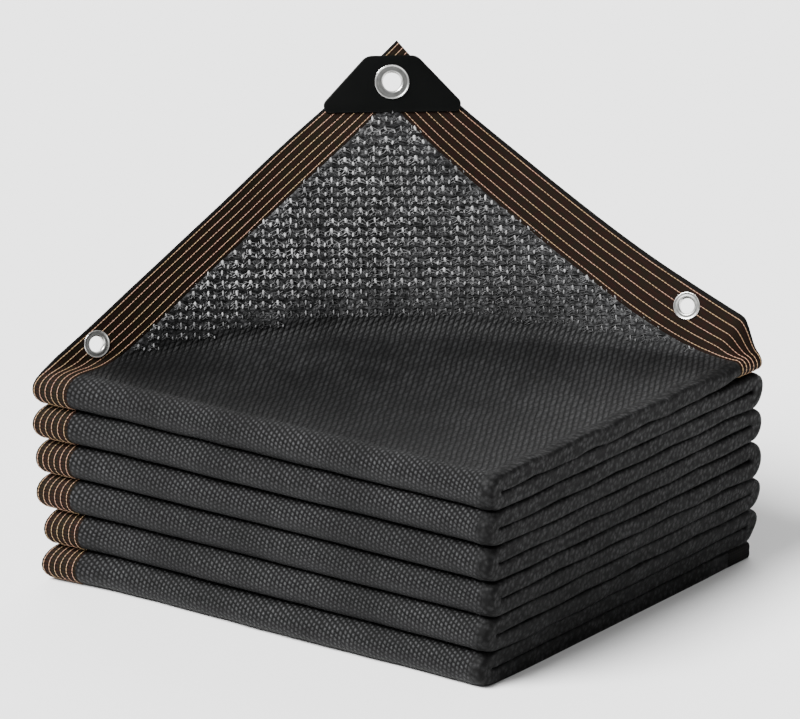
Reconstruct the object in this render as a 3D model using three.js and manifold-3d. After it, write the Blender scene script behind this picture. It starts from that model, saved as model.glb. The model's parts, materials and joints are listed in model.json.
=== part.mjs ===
import * as THREE from "three";
import { mergeVertices } from "three/addons/utils/BufferGeometryUtils.js";
import Module from "manifold-3d";

// Shade cloth folded into a stack, with one bound corner standing up behind it.
// Millimetres. X runs along the front, Y to the back, Z up. The origin is under the middle of the stack.

// The sheet and its folds
const SHEET_THICKNESS = 2.6;
const PLY_PITCH = 3.4;
const RUN_PITCH = 14.6;
const RUNS = 12;
const STACK_WIDTH = 440;
const FRONT_NOSE_Y = -172;
const BACK_NOSE_Y = 175;
const TOP_END_Y = 188;
const BOTTOM_END_Y = 184;
const LEFT_TUCK = 6;
const PIECE_GAP = 0.3;
const SEAM_GAP = 0.6;

// How far the folds stand out, as a share of a half circle
const FRONT_FULLNESS = 1.15;
const LEFT_FULLNESS = 1.6;
const BACK_FULLNESS = 1.05;
const FULLNESS_REACH = 70;
const END_SWELL = 5;

// One row for each front fold, from the top: how far its left and right ends are drawn in, how far it
// stands out at the front, and the height and start of its slow wave along the front
const FOLDS = [
  { leftIn: 0, rightIn: 0, out: 0, wave: 0.8, start: 0.3 },
  { leftIn: 0, rightIn: 0.5, out: 1.2, wave: 1.3, start: 1.9 },
  { leftIn: 0.8, rightIn: 1.5, out: 0.2, wave: 1.4, start: 4.0 },
  { leftIn: 1.2, rightIn: 0.5, out: -0.8, wave: 1.1, start: 5.2 },
  { leftIn: 9, rightIn: 2.5, out: 0.6, wave: 1.5, start: 2.6 },
  { leftIn: 9, rightIn: 7, out: 2.2, wave: 1.2, start: 0.9 },
];
const WAVE_LENGTH = 260;

// The corner that stands up: the straight line that its fold bows back from, and how it leans
const FOLD_LEFT = new THREE.Vector2(-222, -212);
const FOLD_RIGHT = new THREE.Vector2(241.8, 166.3);
const FOLD_BOW = 80;
const LEAN = THREE.MathUtils.degToRad(71.4);
const BEND_RADIUS = 6;
const BEND_RADIUS_MIDDLE = 20;
const CORNER_SWAY = 0.236;
const CORNER_STRETCH = 0.089;
const STRETCH_REACH = 60;
const TIP_SHARE = 0.41;
const LEFT_EDGE_STRETCH = 0.05;
const RIGHT_EDGE_STRETCH = 0.075;
const FLAT_TIP = { within: 70, fadeTo: 190, bow: 76, radius: 19.5 };

// Binding, corner plate and eyelets
const BINDING_WIDTH = 30;
const EDGE_EYELET = { hole: 6.1, rim: 11.2 };
const CORNER_EYELET = { hole: 7.25, rim: 14 };
const EYELET_WALL = 0.5;
const RIM_THICKNESS = 1;
const RIM_ROUND = 1;
const HOLE_CLEARANCE = EYELET_WALL + PIECE_GAP;
const PIN_LENGTH = 20;
const PLATE = { top: 41, bottom: 108, rise: 21.4, drop: 22.2, side: 7, splay: 2, thickness: 1.6 };
const PLATE_EDGE = { round: 4, mostOfSide: 0.45, bevel: 0.5, bevelSteps: 2, curveSteps: 6 };

// Places measured across the sheet from its left edge and along it from its top end
const CORNER_EYELET_PLACE = { across: 21.8, along: 21.8 };
const LEFT_EYELET_PLACE = { across: 12.4, along: 328 };
const RIGHT_EYELET_PLACE = { across: 362, along: 12 };

// Steps round a front or back nose, round each turn of the book fold, and round an eyelet
const NOSE_STEPS = 5;
const WIDE_TURN_STEPS = 6;
const TIGHT_TURN_STEPS = 4;
const ROUND_STEPS = 24;

// Rows of the top run: shares of the way down the corner, distances before its fold, shares of the flat top
const CORNER_SHARES = [0, 0.18, 0.36, 0.53, 0.69, 0.85];
const FOLD_ROWS = [34, 26, 18, 11, 5, 0];
const TOP_SHARES = [0.35, 0.7, 1];
const PLY_SHARES = [0.1, 0.17, 0.26, 0.36, 0.46, 0.56, 0.66, 0.75, 0.83, 0.89, 0.93, 0.965, 1];
const LEAST_ROW = 0.7;
const LEAST_COLUMN = 1;

// Small lengths: half the step that a slope is taken over, and how near two points are one
const SLOPE_STEP = 0.02;
const WELD = 1e-4;

// Sizes that follow from those above
const HALF_BUNDLE = 1.5 * PLY_PITCH;
const HALF_SHEET = SHEET_THICKNESS / 2;
const MIDDLE_RADIUS = RUN_PITCH / 2;
const LEFT_X = -STACK_WIDTH / 2;
const RIGHT_TURN_X = STACK_WIDTH / 2 - HALF_BUNDLE - HALF_SHEET;
const LEFT_TURN_X = LEFT_X + LEFT_TUCK;
const PLY_LENGTH = RIGHT_TURN_X - LEFT_X;
const TUCKED_LENGTH = RIGHT_TURN_X - LEFT_TURN_X;
const WIDE_TURN = Math.PI * HALF_BUNDLE;
const TIGHT_TURN = (Math.PI * PLY_PITCH) / 2;
const SHEET_WIDTH = 2 * PLY_LENGTH + 2 * TUCKED_LENGTH + WIDE_TURN + 2 * TIGHT_TURN - PIECE_GAP;
const NOSE_LENGTH = Math.PI * MIDDLE_RADIUS;
const FIRST_RUN = TOP_END_Y - FRONT_NOSE_Y;
const MIDDLE_RUN = BACK_NOSE_Y - FRONT_NOSE_Y;
const LAST_RUN = BOTTOM_END_Y - FRONT_NOSE_Y;
const SHEET_LENGTH = FIRST_RUN + (RUNS - 2) * MIDDLE_RUN + LAST_RUN + (RUNS - 1) * NOSE_LENGTH;
const LOWEST_RUN_Z = HALF_BUNDLE + HALF_SHEET;
const foldLine = new THREE.Vector2().subVectors(FOLD_RIGHT, FOLD_LEFT);
const FOLD_LENGTH = foldLine.length();
foldLine.normalize();
const foldSide = new THREE.Vector2(-foldLine.y, foldLine.x);

const { clamp, lerp, smoothstep } = THREE.MathUtils;

// Where a point across the sheet lies in its four plies: x, and the height over the bundle's middle
function bookFold(across) {
  const turns = [
    { length: PLY_LENGTH, from: LEFT_X, way: 1, height: HALF_BUNDLE },
    { length: WIDE_TURN, turnX: RIGHT_TURN_X, way: 1, middle: 0, radius: HALF_BUNDLE, down: -1 },
    { length: TUCKED_LENGTH, from: RIGHT_TURN_X, way: -1, height: -HALF_BUNDLE },
    { length: TIGHT_TURN, turnX: LEFT_TURN_X, way: -1, middle: -PLY_PITCH, radius: PLY_PITCH / 2, down: 1 },
    { length: TUCKED_LENGTH, from: LEFT_TURN_X, way: 1, height: -PLY_PITCH / 2 },
    { length: TIGHT_TURN, turnX: RIGHT_TURN_X, way: 1, middle: 0, radius: PLY_PITCH / 2, down: 1 },
    { length: Infinity, from: RIGHT_TURN_X, way: -1, height: PLY_PITCH / 2 },
  ];
  let rest = across;
  for (const turn of turns) {
    if (rest > turn.length) {
      rest -= turn.length;
      continue;
    }
    if (turn.radius === undefined) return { x: turn.from + turn.way * rest, height: turn.height };
    const angle = rest / turn.radius;
    const x = turn.turnX + turn.way * turn.radius * Math.sin(angle);
    return { x, height: turn.middle - turn.down * turn.radius * Math.cos(angle) };
  }
}

// The value of a column of FOLDS at a height in the stack, easing from one fold to the next
function foldValue(column, z) {
  const place = clamp((RUNS * RUN_PITCH - z) / (2 * RUN_PITCH) - 0.5, 0, FOLDS.length - 1);
  const upper = Math.min(Math.floor(place), FOLDS.length - 2);
  return lerp(FOLDS[upper][column], FOLDS[upper + 1][column], smoothstep(place - upper, 0.2, 0.8));
}

// Where a distance along the sheet lies in the zigzag of runs and noses
function zigzag(along) {
  let rest = along;
  for (let run = 0; run < RUNS; run++) {
    const toFront = run % 2 === 0;
    const z = LOWEST_RUN_Z + (RUNS - 1 - run) * RUN_PITCH;
    const length = run === 0 ? FIRST_RUN : run === RUNS - 1 ? Infinity : MIDDLE_RUN;
    const startY = run === 0 ? TOP_END_Y : toFront ? BACK_NOSE_Y : FRONT_NOSE_Y;
    if (rest <= length) return { run, y: toFront ? startY - rest : startY + rest, z, toFront, turn: 0 };
    rest -= length;
    if (rest <= NOSE_LENGTH) return { run, z, toFront, turn: rest / MIDDLE_RADIUS };
    rest -= NOSE_LENGTH;
  }
}

// Lifts a point of the top ply behind the slanting fold, so that the bound corner stands up
function liftCorner(point, hold) {
  const fromLeft = new THREE.Vector2(point.x, point.y).sub(FOLD_LEFT);
  const along = fromLeft.dot(foldLine);
  const behind = fromLeft.dot(foldSide);
  const share = clamp(along / FOLD_LENGTH, 0, 1);
  const arch = Math.sin(Math.PI * share);
  const bow = FOLD_BOW * arch;
  const length = Math.max(behind - bow, 0);
  const beyondTip = (share - TIP_SHARE) / (share > TIP_SHARE ? 1 - TIP_SHARE : TIP_SHARE);
  const edgeStretch = share > TIP_SHARE ? RIGHT_EDGE_STRETCH : LEFT_EDGE_STRETCH;
  const stretch = CORNER_STRETCH + edgeStretch * Math.sin(Math.PI * beyondTip) ** 2;
  const risen = length * (1 + stretch * smoothstep(length, 0, STRETCH_REACH));
  const bent = (radius, start) => {
    const angle = Math.min(risen / radius, LEAN);
    const straight = risen - radius * angle;
    return {
      behind: start + radius * Math.sin(angle) + straight * Math.cos(LEAN),
      up: radius * (1 - Math.cos(angle)) + straight * Math.sin(LEAN),
    };
  };
  const soft = bent(lerp(BEND_RADIUS, BEND_RADIUS_MIDDLE, arch), Math.min(behind, bow));
  const flat = bent(FLAT_TIP.radius, FLAT_TIP.bow);
  const fromTip = Math.hypot(point.x - LEFT_X, point.y - TOP_END_Y);
  const flatness = 1 - smoothstep(fromTip, FLAT_TIP.within, FLAT_TIP.fadeTo);
  const up = lerp(soft.up, flat.up, flatness) * hold;
  const back = lerp(behind, lerp(soft.behind, flat.behind, flatness), hold);
  const moved = FOLD_LEFT.clone();
  moved.addScaledVector(foldLine, along + CORNER_SWAY * up);
  moved.addScaledVector(foldSide, back);
  return new THREE.Vector3(moved.x, moved.y, point.z + up);
}

// The middle of the sheet's thickness at a place across and along it
function sheetMiddle(across, along) {
  const { x, height } = bookFold(across);
  const way = zigzag(along);
  const point = new THREE.Vector3(x, way.y, way.z);
  const fromLeft = x - LEFT_X;
  let swell = 0;
  if (way.turn === 0) {
    point.z += way.toFront ? height : -height;
  } else {
    const radius = MIDDLE_RADIUS + (way.toFront ? height : -height);
    const centreZ = way.z - MIDDLE_RADIUS;
    const reach = radius * Math.sin(way.turn);
    point.z = centreZ + radius * Math.cos(way.turn);
    if (way.toFront) {
      const fold = FOLDS[way.run / 2];
      const fullness = lerp(LEFT_FULLNESS, FRONT_FULLNESS, smoothstep(fromLeft, 0, FULLNESS_REACH));
      const wave = fold.wave * Math.sin((2 * Math.PI * x) / WAVE_LENGTH + fold.start);
      point.y = FRONT_NOSE_Y - fullness * reach - (fold.out + wave) * Math.sin(way.turn) ** 2;
      swell = END_SWELL * Math.sin(way.turn) ** 2 * (1 - smoothstep(fromLeft, 0, FULLNESS_REACH));
    } else {
      point.y = BACK_NOSE_Y + BACK_FULLNESS * reach;
    }
  }
  const share = fromLeft / STACK_WIDTH;
  point.x += (1 - share) * foldValue("leftIn", point.z) - share * foldValue("rightIn", point.z) - swell;
  const edgeHold = 1 - smoothstep(across, PLY_LENGTH - 2 * HALF_BUNDLE, PLY_LENGTH + WIDE_TURN / 2);
  const noseHold = way.run > 0 ? 0 : 1 - smoothstep(way.turn, 0, Math.PI / 2);
  const hold = edgeHold * noseHold;
  return hold > 0 ? liftCorner(point, hold) : point;
}

// The same place with the direction out of the sheet's upper face there
function sheetPlace(across, along) {
  const acrossWay = sheetMiddle(across + SLOPE_STEP, along).sub(sheetMiddle(across - SLOPE_STEP, along));
  const alongWay = sheetMiddle(across, along + SLOPE_STEP).sub(sheetMiddle(across, along - SLOPE_STEP));
  const out = new THREE.Vector3().crossVectors(alongWay, acrossWay).normalize();
  return { middle: sheetMiddle(across, along), out };
}

// A closed sheet of even thickness: one column for each distance across, with its own list of rows.
// A notch leaves out the cells before its column and row.
function sheetGeometry(columns, rowsAt, notch = { column: 0, row: 0 }) {
  const upper = [];
  const lower = [];
  const rowCount = rowsAt(columns[0]).length;
  for (const across of columns) {
    for (const along of rowsAt(across)) {
      const { middle, out } = sheetPlace(across, along);
      upper.push(...middle.clone().addScaledVector(out, HALF_SHEET));
      lower.push(...middle.clone().addScaledVector(out, -HALF_SHEET));
    }
  }
  const count = columns.length * rowCount;
  const at = (column, row, face) => face * count + column * rowCount + row;
  const faces = [];
  const quad = (a, b, c, d) => faces.push(a, b, c, a, c, d);
  const last = { column: columns.length - 1, row: rowCount - 1 };
  for (let i = 0; i < last.column; i++) {
    const top = i < notch.column ? notch.row : 0;
    for (let j = top; j < last.row; j++) {
      quad(at(i, j, 0), at(i, j + 1, 0), at(i + 1, j + 1, 0), at(i + 1, j, 0));
      quad(at(i, j, 1), at(i + 1, j, 1), at(i + 1, j + 1, 1), at(i, j + 1, 1));
    }
    quad(at(i, top, 0), at(i + 1, top, 0), at(i + 1, top, 1), at(i, top, 1));
    quad(at(i + 1, last.row, 0), at(i, last.row, 0), at(i, last.row, 1), at(i + 1, last.row, 1));
  }
  for (let j = 0; j < last.row; j++) {
    const left = j < notch.row ? notch.column : 0;
    quad(at(left, j + 1, 0), at(left, j, 0), at(left, j, 1), at(left, j + 1, 1));
    quad(at(last.column, j, 0), at(last.column, j + 1, 0), at(last.column, j + 1, 1), at(last.column, j, 1));
  }
  const geometry = new THREE.BufferGeometry();
  geometry.setAttribute("position", new THREE.Float32BufferAttribute([...upper, ...lower], 3));
  geometry.setIndex(faces);
  return geometry;
}

// Distance along the top run at which the slanting fold crosses a place across the sheet
function foldCrossing(across) {
  const { x } = bookFold(Math.min(across, PLY_LENGTH));
  let low = 0;
  let high = 1;
  for (let i = 0; i < 30; i++) {
    const middle = (low + high) / 2;
    const at = FOLD_LEFT.x + foldLine.x * FOLD_LENGTH * middle;
    const bowed = at + foldSide.x * FOLD_BOW * Math.sin(Math.PI * middle);
    if (bowed < x) low = middle;
    else high = middle;
  }
  const bow = FOLD_BOW * Math.sin(Math.PI * low);
  return TOP_END_Y - (FOLD_LEFT.y + foldLine.y * FOLD_LENGTH * low + foldSide.y * bow);
}

// Rows of the top run: even steps down the standing corner, close steps round the fold, then the flat top
function topRunRows(across, start) {
  const crossing = foldCrossing(across);
  const first = crossing - FOLD_ROWS[0];
  const rows = CORNER_SHARES.map((share) => lerp(start, first, share));
  rows.push(...FOLD_ROWS.map((before) => crossing - before));
  rows.push(...TOP_SHARES.map((share) => lerp(crossing, FIRST_RUN, share)));
  const last = rows.length - 1;
  return rows.map((row, i) => clamp(row, start + i * LEAST_ROW, FIRST_RUN - (last - i) * LEAST_ROW));
}

// Rows of everything after the top run: each nose in steps, each run in one
function lowerRows(end) {
  const rows = [];
  let along = FIRST_RUN;
  for (let run = 0; run < RUNS - 1; run++) {
    for (let step = 1; step <= NOSE_STEPS; step++) rows.push(along + (NOSE_LENGTH * step) / NOSE_STEPS);
    along += NOSE_LENGTH;
    if (run === RUNS - 2) break;
    along += MIDDLE_RUN;
    rows.push(along);
  }
  rows.push(end);
  return rows;
}

// Columns across the sheet between two edges: the plies' own steps, and each turn in steps
function columnsBetween(start, end) {
  const columns = PLY_SHARES.map((share) => share * PLY_LENGTH);
  let across = PLY_LENGTH;
  const addTurn = (length, steps) => {
    for (let step = 1; step <= steps; step++) columns.push(across + (length * step) / steps);
    across += length;
  };
  addTurn(WIDE_TURN, WIDE_TURN_STEPS);
  addTurn(TUCKED_LENGTH, 1);
  addTurn(TIGHT_TURN, TIGHT_TURN_STEPS);
  addTurn(TUCKED_LENGTH, 1);
  addTurn(TIGHT_TURN, TIGHT_TURN_STEPS);
  const inside = columns.filter((column) => column > start + LEAST_COLUMN && column < end - LEAST_COLUMN);
  return [start, ...inside, end];
}

function evenSteps(start, end, steps) {
  return Array.from({ length: steps + 1 }, (_, i) => lerp(start, end, i / steps));
}

// Solids joined and cut
const wasm = await Module();
wasm.setup();

function solidOf(geometry) {
  const bare = geometry.clone();
  bare.deleteAttribute("normal");
  bare.deleteAttribute("uv");
  const merged = mergeVertices(bare, WELD);
  const triVerts = new Uint32Array(merged.index.array);
  const vertProperties = merged.attributes.position.array;
  return new wasm.Manifold(new wasm.Mesh({ numProp: 3, vertProperties, triVerts }));
}

function geometryOf(solid) {
  const { vertProperties, triVerts } = solid.getMesh();
  const geometry = new THREE.BufferGeometry();
  geometry.setAttribute("position", new THREE.BufferAttribute(vertProperties, 3));
  geometry.setIndex(new THREE.BufferAttribute(triVerts, 1));
  return geometry;
}

// A turn and place that stand a piece on the standing corner, its Z axis out of the cloth's face
function seatAt({ across, along }) {
  const { middle, out } = sheetPlace(across, along);
  const upWay = new THREE.Vector3(0, 0, 1).addScaledVector(out, -out.z).normalize();
  const rightWay = new THREE.Vector3().crossVectors(upWay, out);
  return new THREE.Matrix4().makeBasis(rightWay, upWay, out).setPosition(middle);
}

function punch(geometry, eyelet, place) {
  const radius = eyelet.hole + HOLE_CLEARANCE;
  const pin = new THREE.CylinderGeometry(radius, radius, PIN_LENGTH, ROUND_STEPS);
  pin.rotateX(Math.PI / 2);
  pin.applyMatrix4(seatAt(place));
  return geometryOf(solidOf(geometry).subtract(solidOf(pin)));
}

// An eyelet round the middle of the sheet: a front rim over a plate of a given height, and a back washer
function eyeletGeometry({ hole, rim }, over) {
  const front = HALF_SHEET + PIECE_GAP + over;
  const back = -HALF_SHEET - PIECE_GAP;
  const wall = hole + EYELET_WALL;
  const profile = [
    [hole, back - RIM_THICKNESS],
    [rim - RIM_ROUND, back - RIM_THICKNESS],
    [rim, back - RIM_THICKNESS / 2],
    [rim, back],
    [wall, back],
    [wall, front],
    [rim, front],
    [rim, front + RIM_THICKNESS / 2],
    [rim - RIM_ROUND, front + RIM_THICKNESS],
    [hole + RIM_ROUND, front + RIM_THICKNESS],
    [hole, front + RIM_THICKNESS / 2],
    [hole, back - RIM_THICKNESS],
  ];
  const points = profile.map(([radius, height]) => new THREE.Vector2(radius, height));
  const geometry = new THREE.LatheGeometry(points, ROUND_STEPS);
  geometry.rotateX(Math.PI / 2);
  return geometry;
}

// The corner plate's outline, with rounded corners, and the hole that its eyelet goes through
function plateGeometry() {
  const { top, bottom, rise, drop, side, splay, thickness } = PLATE;
  const { round, mostOfSide, bevel, bevelSteps, curveSteps } = PLATE_EDGE;
  const corners = [
    [-bottom / 2 + splay, -drop],
    [bottom / 2 - splay, -drop],
    [bottom / 2, side - drop],
    [top / 2, rise],
    [-top / 2, rise],
    [-bottom / 2, side - drop],
  ].map(([x, y]) => new THREE.Vector2(x, y));
  const shape = new THREE.Shape();
  corners.forEach((corner, i) => {
    const before = corners[(i + corners.length - 1) % corners.length];
    const after = corners[(i + 1) % corners.length];
    const shorter = Math.min(corner.distanceTo(before), corner.distanceTo(after));
    const trim = Math.min(round, mostOfSide * shorter);
    const enter = corner.clone().addScaledVector(before.clone().sub(corner).normalize(), trim);
    const leave = corner.clone().addScaledVector(after.clone().sub(corner).normalize(), trim);
    if (i === 0) shape.moveTo(enter.x, enter.y);
    else shape.lineTo(enter.x, enter.y);
    shape.quadraticCurveTo(corner.x, corner.y, leave.x, leave.y);
  });
  shape.closePath();
  const hole = new THREE.Path();
  hole.absarc(0, 0, CORNER_EYELET.hole + HOLE_CLEARANCE, 0, 2 * Math.PI, true);
  shape.holes.push(hole);
  const geometry = new THREE.ExtrudeGeometry(shape, {
    depth: thickness - 2 * bevel,
    bevelThickness: bevel,
    bevelSize: bevel,
    bevelOffset: -bevel,
    bevelSegments: bevelSteps,
    curveSegments: curveSteps,
  });
  geometry.translate(0, 0, HALF_SHEET + PIECE_GAP + bevel);
  return geometry;
}

const materials = {
  knit: new THREE.MeshStandardMaterial({ color: 0x2e2f30, roughness: 0.85, metalness: 0 }),
  binding: new THREE.MeshStandardMaterial({ color: 0x2c221b, roughness: 0.8, metalness: 0 }),
  plate: new THREE.MeshStandardMaterial({ color: 0x151716, roughness: 0.4, metalness: 0 }),
  metal: new THREE.MeshStandardMaterial({ color: 0xc4c4c0, roughness: 0.25, metalness: 1 }),
};

const group = new THREE.Group();

function add(name, geometry, material, seat) {
  const mesh = new THREE.Mesh(geometry, material);
  mesh.name = name;
  if (seat) mesh.applyMatrix4(seat);
  group.add(mesh);
}

const INSIDE = BINDING_WIDTH + SEAM_GAP;

// Knitted cloth, inside its bindings. Its top layer is a solid of its own, cut off where the folds begin.
const CUT_ACROSS = PLY_LENGTH + WIDE_TURN / 2;
const topColumns = columnsBetween(INSIDE, CUT_ACROSS);
const topRows = (across) => topRunRows(across, INSIDE);
add("top_cloth", sheetGeometry(topColumns, topRows), materials.knit);
const notch = { column: topColumns.length - 1, row: topRows(INSIDE).length - 1 };
const clothColumns = columnsBetween(INSIDE, SHEET_WIDTH - INSIDE);
clothColumns[notch.column] += SEAM_GAP;
const clothRows = (across) => {
  const rows = [...topRows(across), ...lowerRows(SHEET_LENGTH - INSIDE)];
  rows[notch.row] += SEAM_GAP;
  return rows;
};
add("knitted_cloth", sheetGeometry(clothColumns, clothRows, notch), materials.knit);

// Binding down the side of the standing corner and round the first fold
const sideColumns = evenSteps(0, BINDING_WIDTH, 2);
const firstNose = evenSteps(FIRST_RUN, FIRST_RUN + NOSE_LENGTH, NOSE_STEPS).slice(1);
const flapRows = (across) => {
  const rows = topRunRows((across * INSIDE) / BINDING_WIDTH, INSIDE);
  const halfway = rows.slice(1, 7).map((row, i) => (row + rows[i]) / 2);
  return [0, ...rows, ...halfway, ...firstNose].sort((a, b) => a - b);
};
let flapSide = sheetGeometry(sideColumns, flapRows);
flapSide = punch(flapSide, CORNER_EYELET, CORNER_EYELET_PLACE);
flapSide = punch(flapSide, EDGE_EYELET, LEFT_EYELET_PLACE);
add("flap_side_binding", flapSide, materials.binding);

// The same binding further down, round the ends of the other folds
const stackStart = FIRST_RUN + NOSE_LENGTH + PIECE_GAP;
const stackRows = [stackStart, ...lowerRows(SHEET_LENGTH).filter((row) => row > stackStart + 1)];
add("stack_side_binding", sheetGeometry(sideColumns, () => stackRows), materials.binding);

// Binding on the sheet's other long edge, under the first
const innerColumns = evenSteps(SHEET_WIDTH - BINDING_WIDTH, SHEET_WIDTH, 2);
const innerRows = [INSIDE, FIRST_RUN, ...lowerRows(SHEET_LENGTH)];
add("inner_side_binding", sheetGeometry(innerColumns, () => innerRows), materials.binding);

// Binding across the top end, down the other side of the standing corner and through the four plies
const endColumns = columnsBetween(INSIDE, SHEET_WIDTH);
let topEnd = sheetGeometry(endColumns, () => evenSteps(0, BINDING_WIDTH, 3));
topEnd = punch(topEnd, EDGE_EYELET, RIGHT_EYELET_PLACE);
add("top_end_binding", topEnd, materials.binding);

// Binding across the bottom end, at the back under the stack
const bottomColumns = columnsBetween(INSIDE, SHEET_WIDTH - INSIDE);
const bottomRows = evenSteps(SHEET_LENGTH - BINDING_WIDTH, SHEET_LENGTH, 1);
add("bottom_end_binding", sheetGeometry(bottomColumns, () => bottomRows), materials.binding);

// Corner plate and eyelets
const cornerSeat = seatAt(CORNER_EYELET_PLACE);
add("corner_plate", plateGeometry(), materials.plate, cornerSeat);
add("corner_eyelet", eyeletGeometry(CORNER_EYELET, PLATE.thickness + PIECE_GAP), materials.metal, cornerSeat);
add("left_eyelet", eyeletGeometry(EDGE_EYELET, 0), materials.metal, seatAt(LEFT_EYELET_PLACE));
add("right_eyelet", eyeletGeometry(EDGE_EYELET, 0), materials.metal, seatAt(RIGHT_EYELET_PLACE));

export default group;
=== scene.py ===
# %% [markdown]
# # A folded shade cloth
# A knitted shade cloth lies folded into a square stack, and one bound corner stands up behind it.
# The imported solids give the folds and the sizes. This script dresses them: a finely knitted sheet,
# coarse knit loops on the standing corner, stitched edge tape, a moulded plate and metal eyelets.

# %% Load the frame
import json
import math
from collections import namedtuple

import bmesh
import bpy
import numpy as np
from mathutils import Matrix, Vector

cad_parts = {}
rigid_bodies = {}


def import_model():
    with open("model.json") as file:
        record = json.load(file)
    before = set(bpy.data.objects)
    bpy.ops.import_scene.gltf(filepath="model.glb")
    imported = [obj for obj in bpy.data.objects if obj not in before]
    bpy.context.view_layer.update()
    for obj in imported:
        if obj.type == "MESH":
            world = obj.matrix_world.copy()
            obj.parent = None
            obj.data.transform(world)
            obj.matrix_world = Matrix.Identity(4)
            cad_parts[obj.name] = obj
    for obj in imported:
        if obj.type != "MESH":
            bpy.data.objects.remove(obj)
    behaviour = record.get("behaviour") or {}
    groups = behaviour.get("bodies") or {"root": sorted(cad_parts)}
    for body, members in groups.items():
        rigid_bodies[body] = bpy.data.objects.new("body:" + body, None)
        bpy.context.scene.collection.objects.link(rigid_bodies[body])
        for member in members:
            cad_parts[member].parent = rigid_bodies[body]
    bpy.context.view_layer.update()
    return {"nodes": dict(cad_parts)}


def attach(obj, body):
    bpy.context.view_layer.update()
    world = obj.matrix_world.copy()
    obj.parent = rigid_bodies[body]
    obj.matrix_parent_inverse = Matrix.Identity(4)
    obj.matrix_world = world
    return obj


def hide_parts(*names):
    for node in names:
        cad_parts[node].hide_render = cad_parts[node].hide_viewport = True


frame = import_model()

MM = 0.001
print("solids:", sorted(frame["nodes"]))

# %% [markdown]
# ## The camera
# A folded cloth is shown from a little above one corner of the stack. A long lens far away keeps
# its edges nearly parallel, which suits a packed product.

# %% Camera
AZIMUTH, ELEVATION = math.radians(36.2), math.radians(18.6)
CAMERA_DISTANCE = 6.0
CAMERA_TARGET = Vector((-0.003, 0, 0.176))
LENS_MM = 337.5
camera = bpy.data.objects.new("camera", bpy.data.cameras.new("camera"))
bpy.context.scene.collection.objects.link(camera)
back_way = Vector((math.sin(AZIMUTH) * math.cos(ELEVATION), -math.cos(AZIMUTH) * math.cos(ELEVATION),
                   math.sin(ELEVATION)))
camera.location = CAMERA_TARGET + CAMERA_DISTANCE * back_way
camera.rotation_euler = back_way.to_track_quat("Z", "Y").to_euler()
camera.data.lens = LENS_MM
camera.data.sensor_width = 36
camera.data.clip_end = 100
bpy.context.scene.camera = camera
print("camera at", [round(v, 2) for v in camera.location])

# %% [markdown]
# ## The folds as a rule
# The real cloth is folded in four across its width, and then back and forth along its length.
# Each point of the flat sheet, given by its distance across and along, therefore has one place in
# the stack. Writing the folds as a function of those two distances beats shaping them by hand,
# because the knit, the tape and the stitches can all follow the same function.

# %% Sizes of the sheet and its folds, in millimetres
THICKNESS, PLY_PITCH, RUN_PITCH, RUNS, WIDTH = 2.6, 3.4, 14.6, 12, 440
FRONT_Y, BACK_Y, TOP_END_Y, BOTTOM_END_Y = -172, 175, 188, 184
# Fullness of the folds at the front, the left end and the back, and how far in the left one reaches.
FULL_FRONT, FULL_LEFT, FULL_BACK, FULL_REACH, END_SWELL = 1.15, 1.6, 1.05, 70, 5
INNER_STEP, END_TRIM, WAVE_LENGTH = 6, 0.3, 260
# One number a fold, from the top: how far its left and right ends lie in, how far its front stands
# out, and the size and start of the slow wave along it.
LEFT_IN = np.array([0, 0, 0.8, 1.2, 9, 9])
RIGHT_IN = np.array([0, 0.5, 1.5, 0.5, 2.5, 7])
FOLD_OUT = np.array([0, 1.2, 0.2, -0.8, 0.6, 2.2])
FOLD_WAVE = np.array([0.8, 1.3, 1.4, 1.1, 1.5, 1.2])
WAVE_START = np.array([0.3, 1.9, 4.0, 5.2, 2.6, 0.9])
# The slanting fold under the standing corner: its two ends, its bow, and how far the cloth leans.
FOLD_LEFT, FOLD_RIGHT = np.array([-222, -212.0]), np.array([241.8, 166.3])
FOLD_BOW, LEAN = 80, math.radians(71.4)
# How the cloth shifts and stretches as it rises, then its bend at the fold's ends, middle and tip.
SWAY, STRETCH, STRETCH_REACH, TIP_SHARE = 0.236, 0.089, 60, 0.41
LEFT_STRETCH, RIGHT_STRETCH = 0.05, 0.075
BEND_ENDS, BEND_MIDDLE, BEND_TIP, TIP_BOW, TIP_WITHIN, TIP_FADE = 6, 20, 19.5, 76, 70, 190

HALF_BUNDLE, HALF, MIDDLE_RADIUS = 1.5 * PLY_PITCH, THICKNESS / 2, RUN_PITCH / 2
LEFT_X, RIGHT_TURN = -WIDTH / 2, WIDTH / 2 - HALF_BUNDLE - HALF
LEFT_TURN = LEFT_X + INNER_STEP
PLY, TUCKED = RIGHT_TURN - LEFT_X, RIGHT_TURN - LEFT_TURN
WIDE_TURN, TIGHT_TURN = math.pi * HALF_BUNDLE, math.pi * PLY_PITCH / 2
SHEET_WIDTH = 2 * PLY + 2 * TUCKED + WIDE_TURN + 2 * TIGHT_TURN - END_TRIM
NOSE, FIRST_RUN, MIDDLE_RUN = math.pi * MIDDLE_RADIUS, TOP_END_Y - FRONT_Y, BACK_Y - FRONT_Y
SHEET_LENGTH = FIRST_RUN + (RUNS - 2) * MIDDLE_RUN + BOTTOM_END_Y - FRONT_Y + (RUNS - 1) * NOSE
FOLD_LENGTH = float(np.linalg.norm(FOLD_RIGHT - FOLD_LEFT))
FOLD_LINE = (FOLD_RIGHT - FOLD_LEFT) / FOLD_LENGTH
FOLD_SIDE = np.array([-FOLD_LINE[1], FOLD_LINE[0]])
print(f"flat sheet {SHEET_WIDTH:.1f} by {SHEET_LENGTH:.1f} mm")


# %% Across the sheet: four plies and the turns between them
def smooth(value, low, high):
    share = np.clip((value - low) / (high - low), 0, 1)
    return share * share * (3 - 2 * share)


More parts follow.
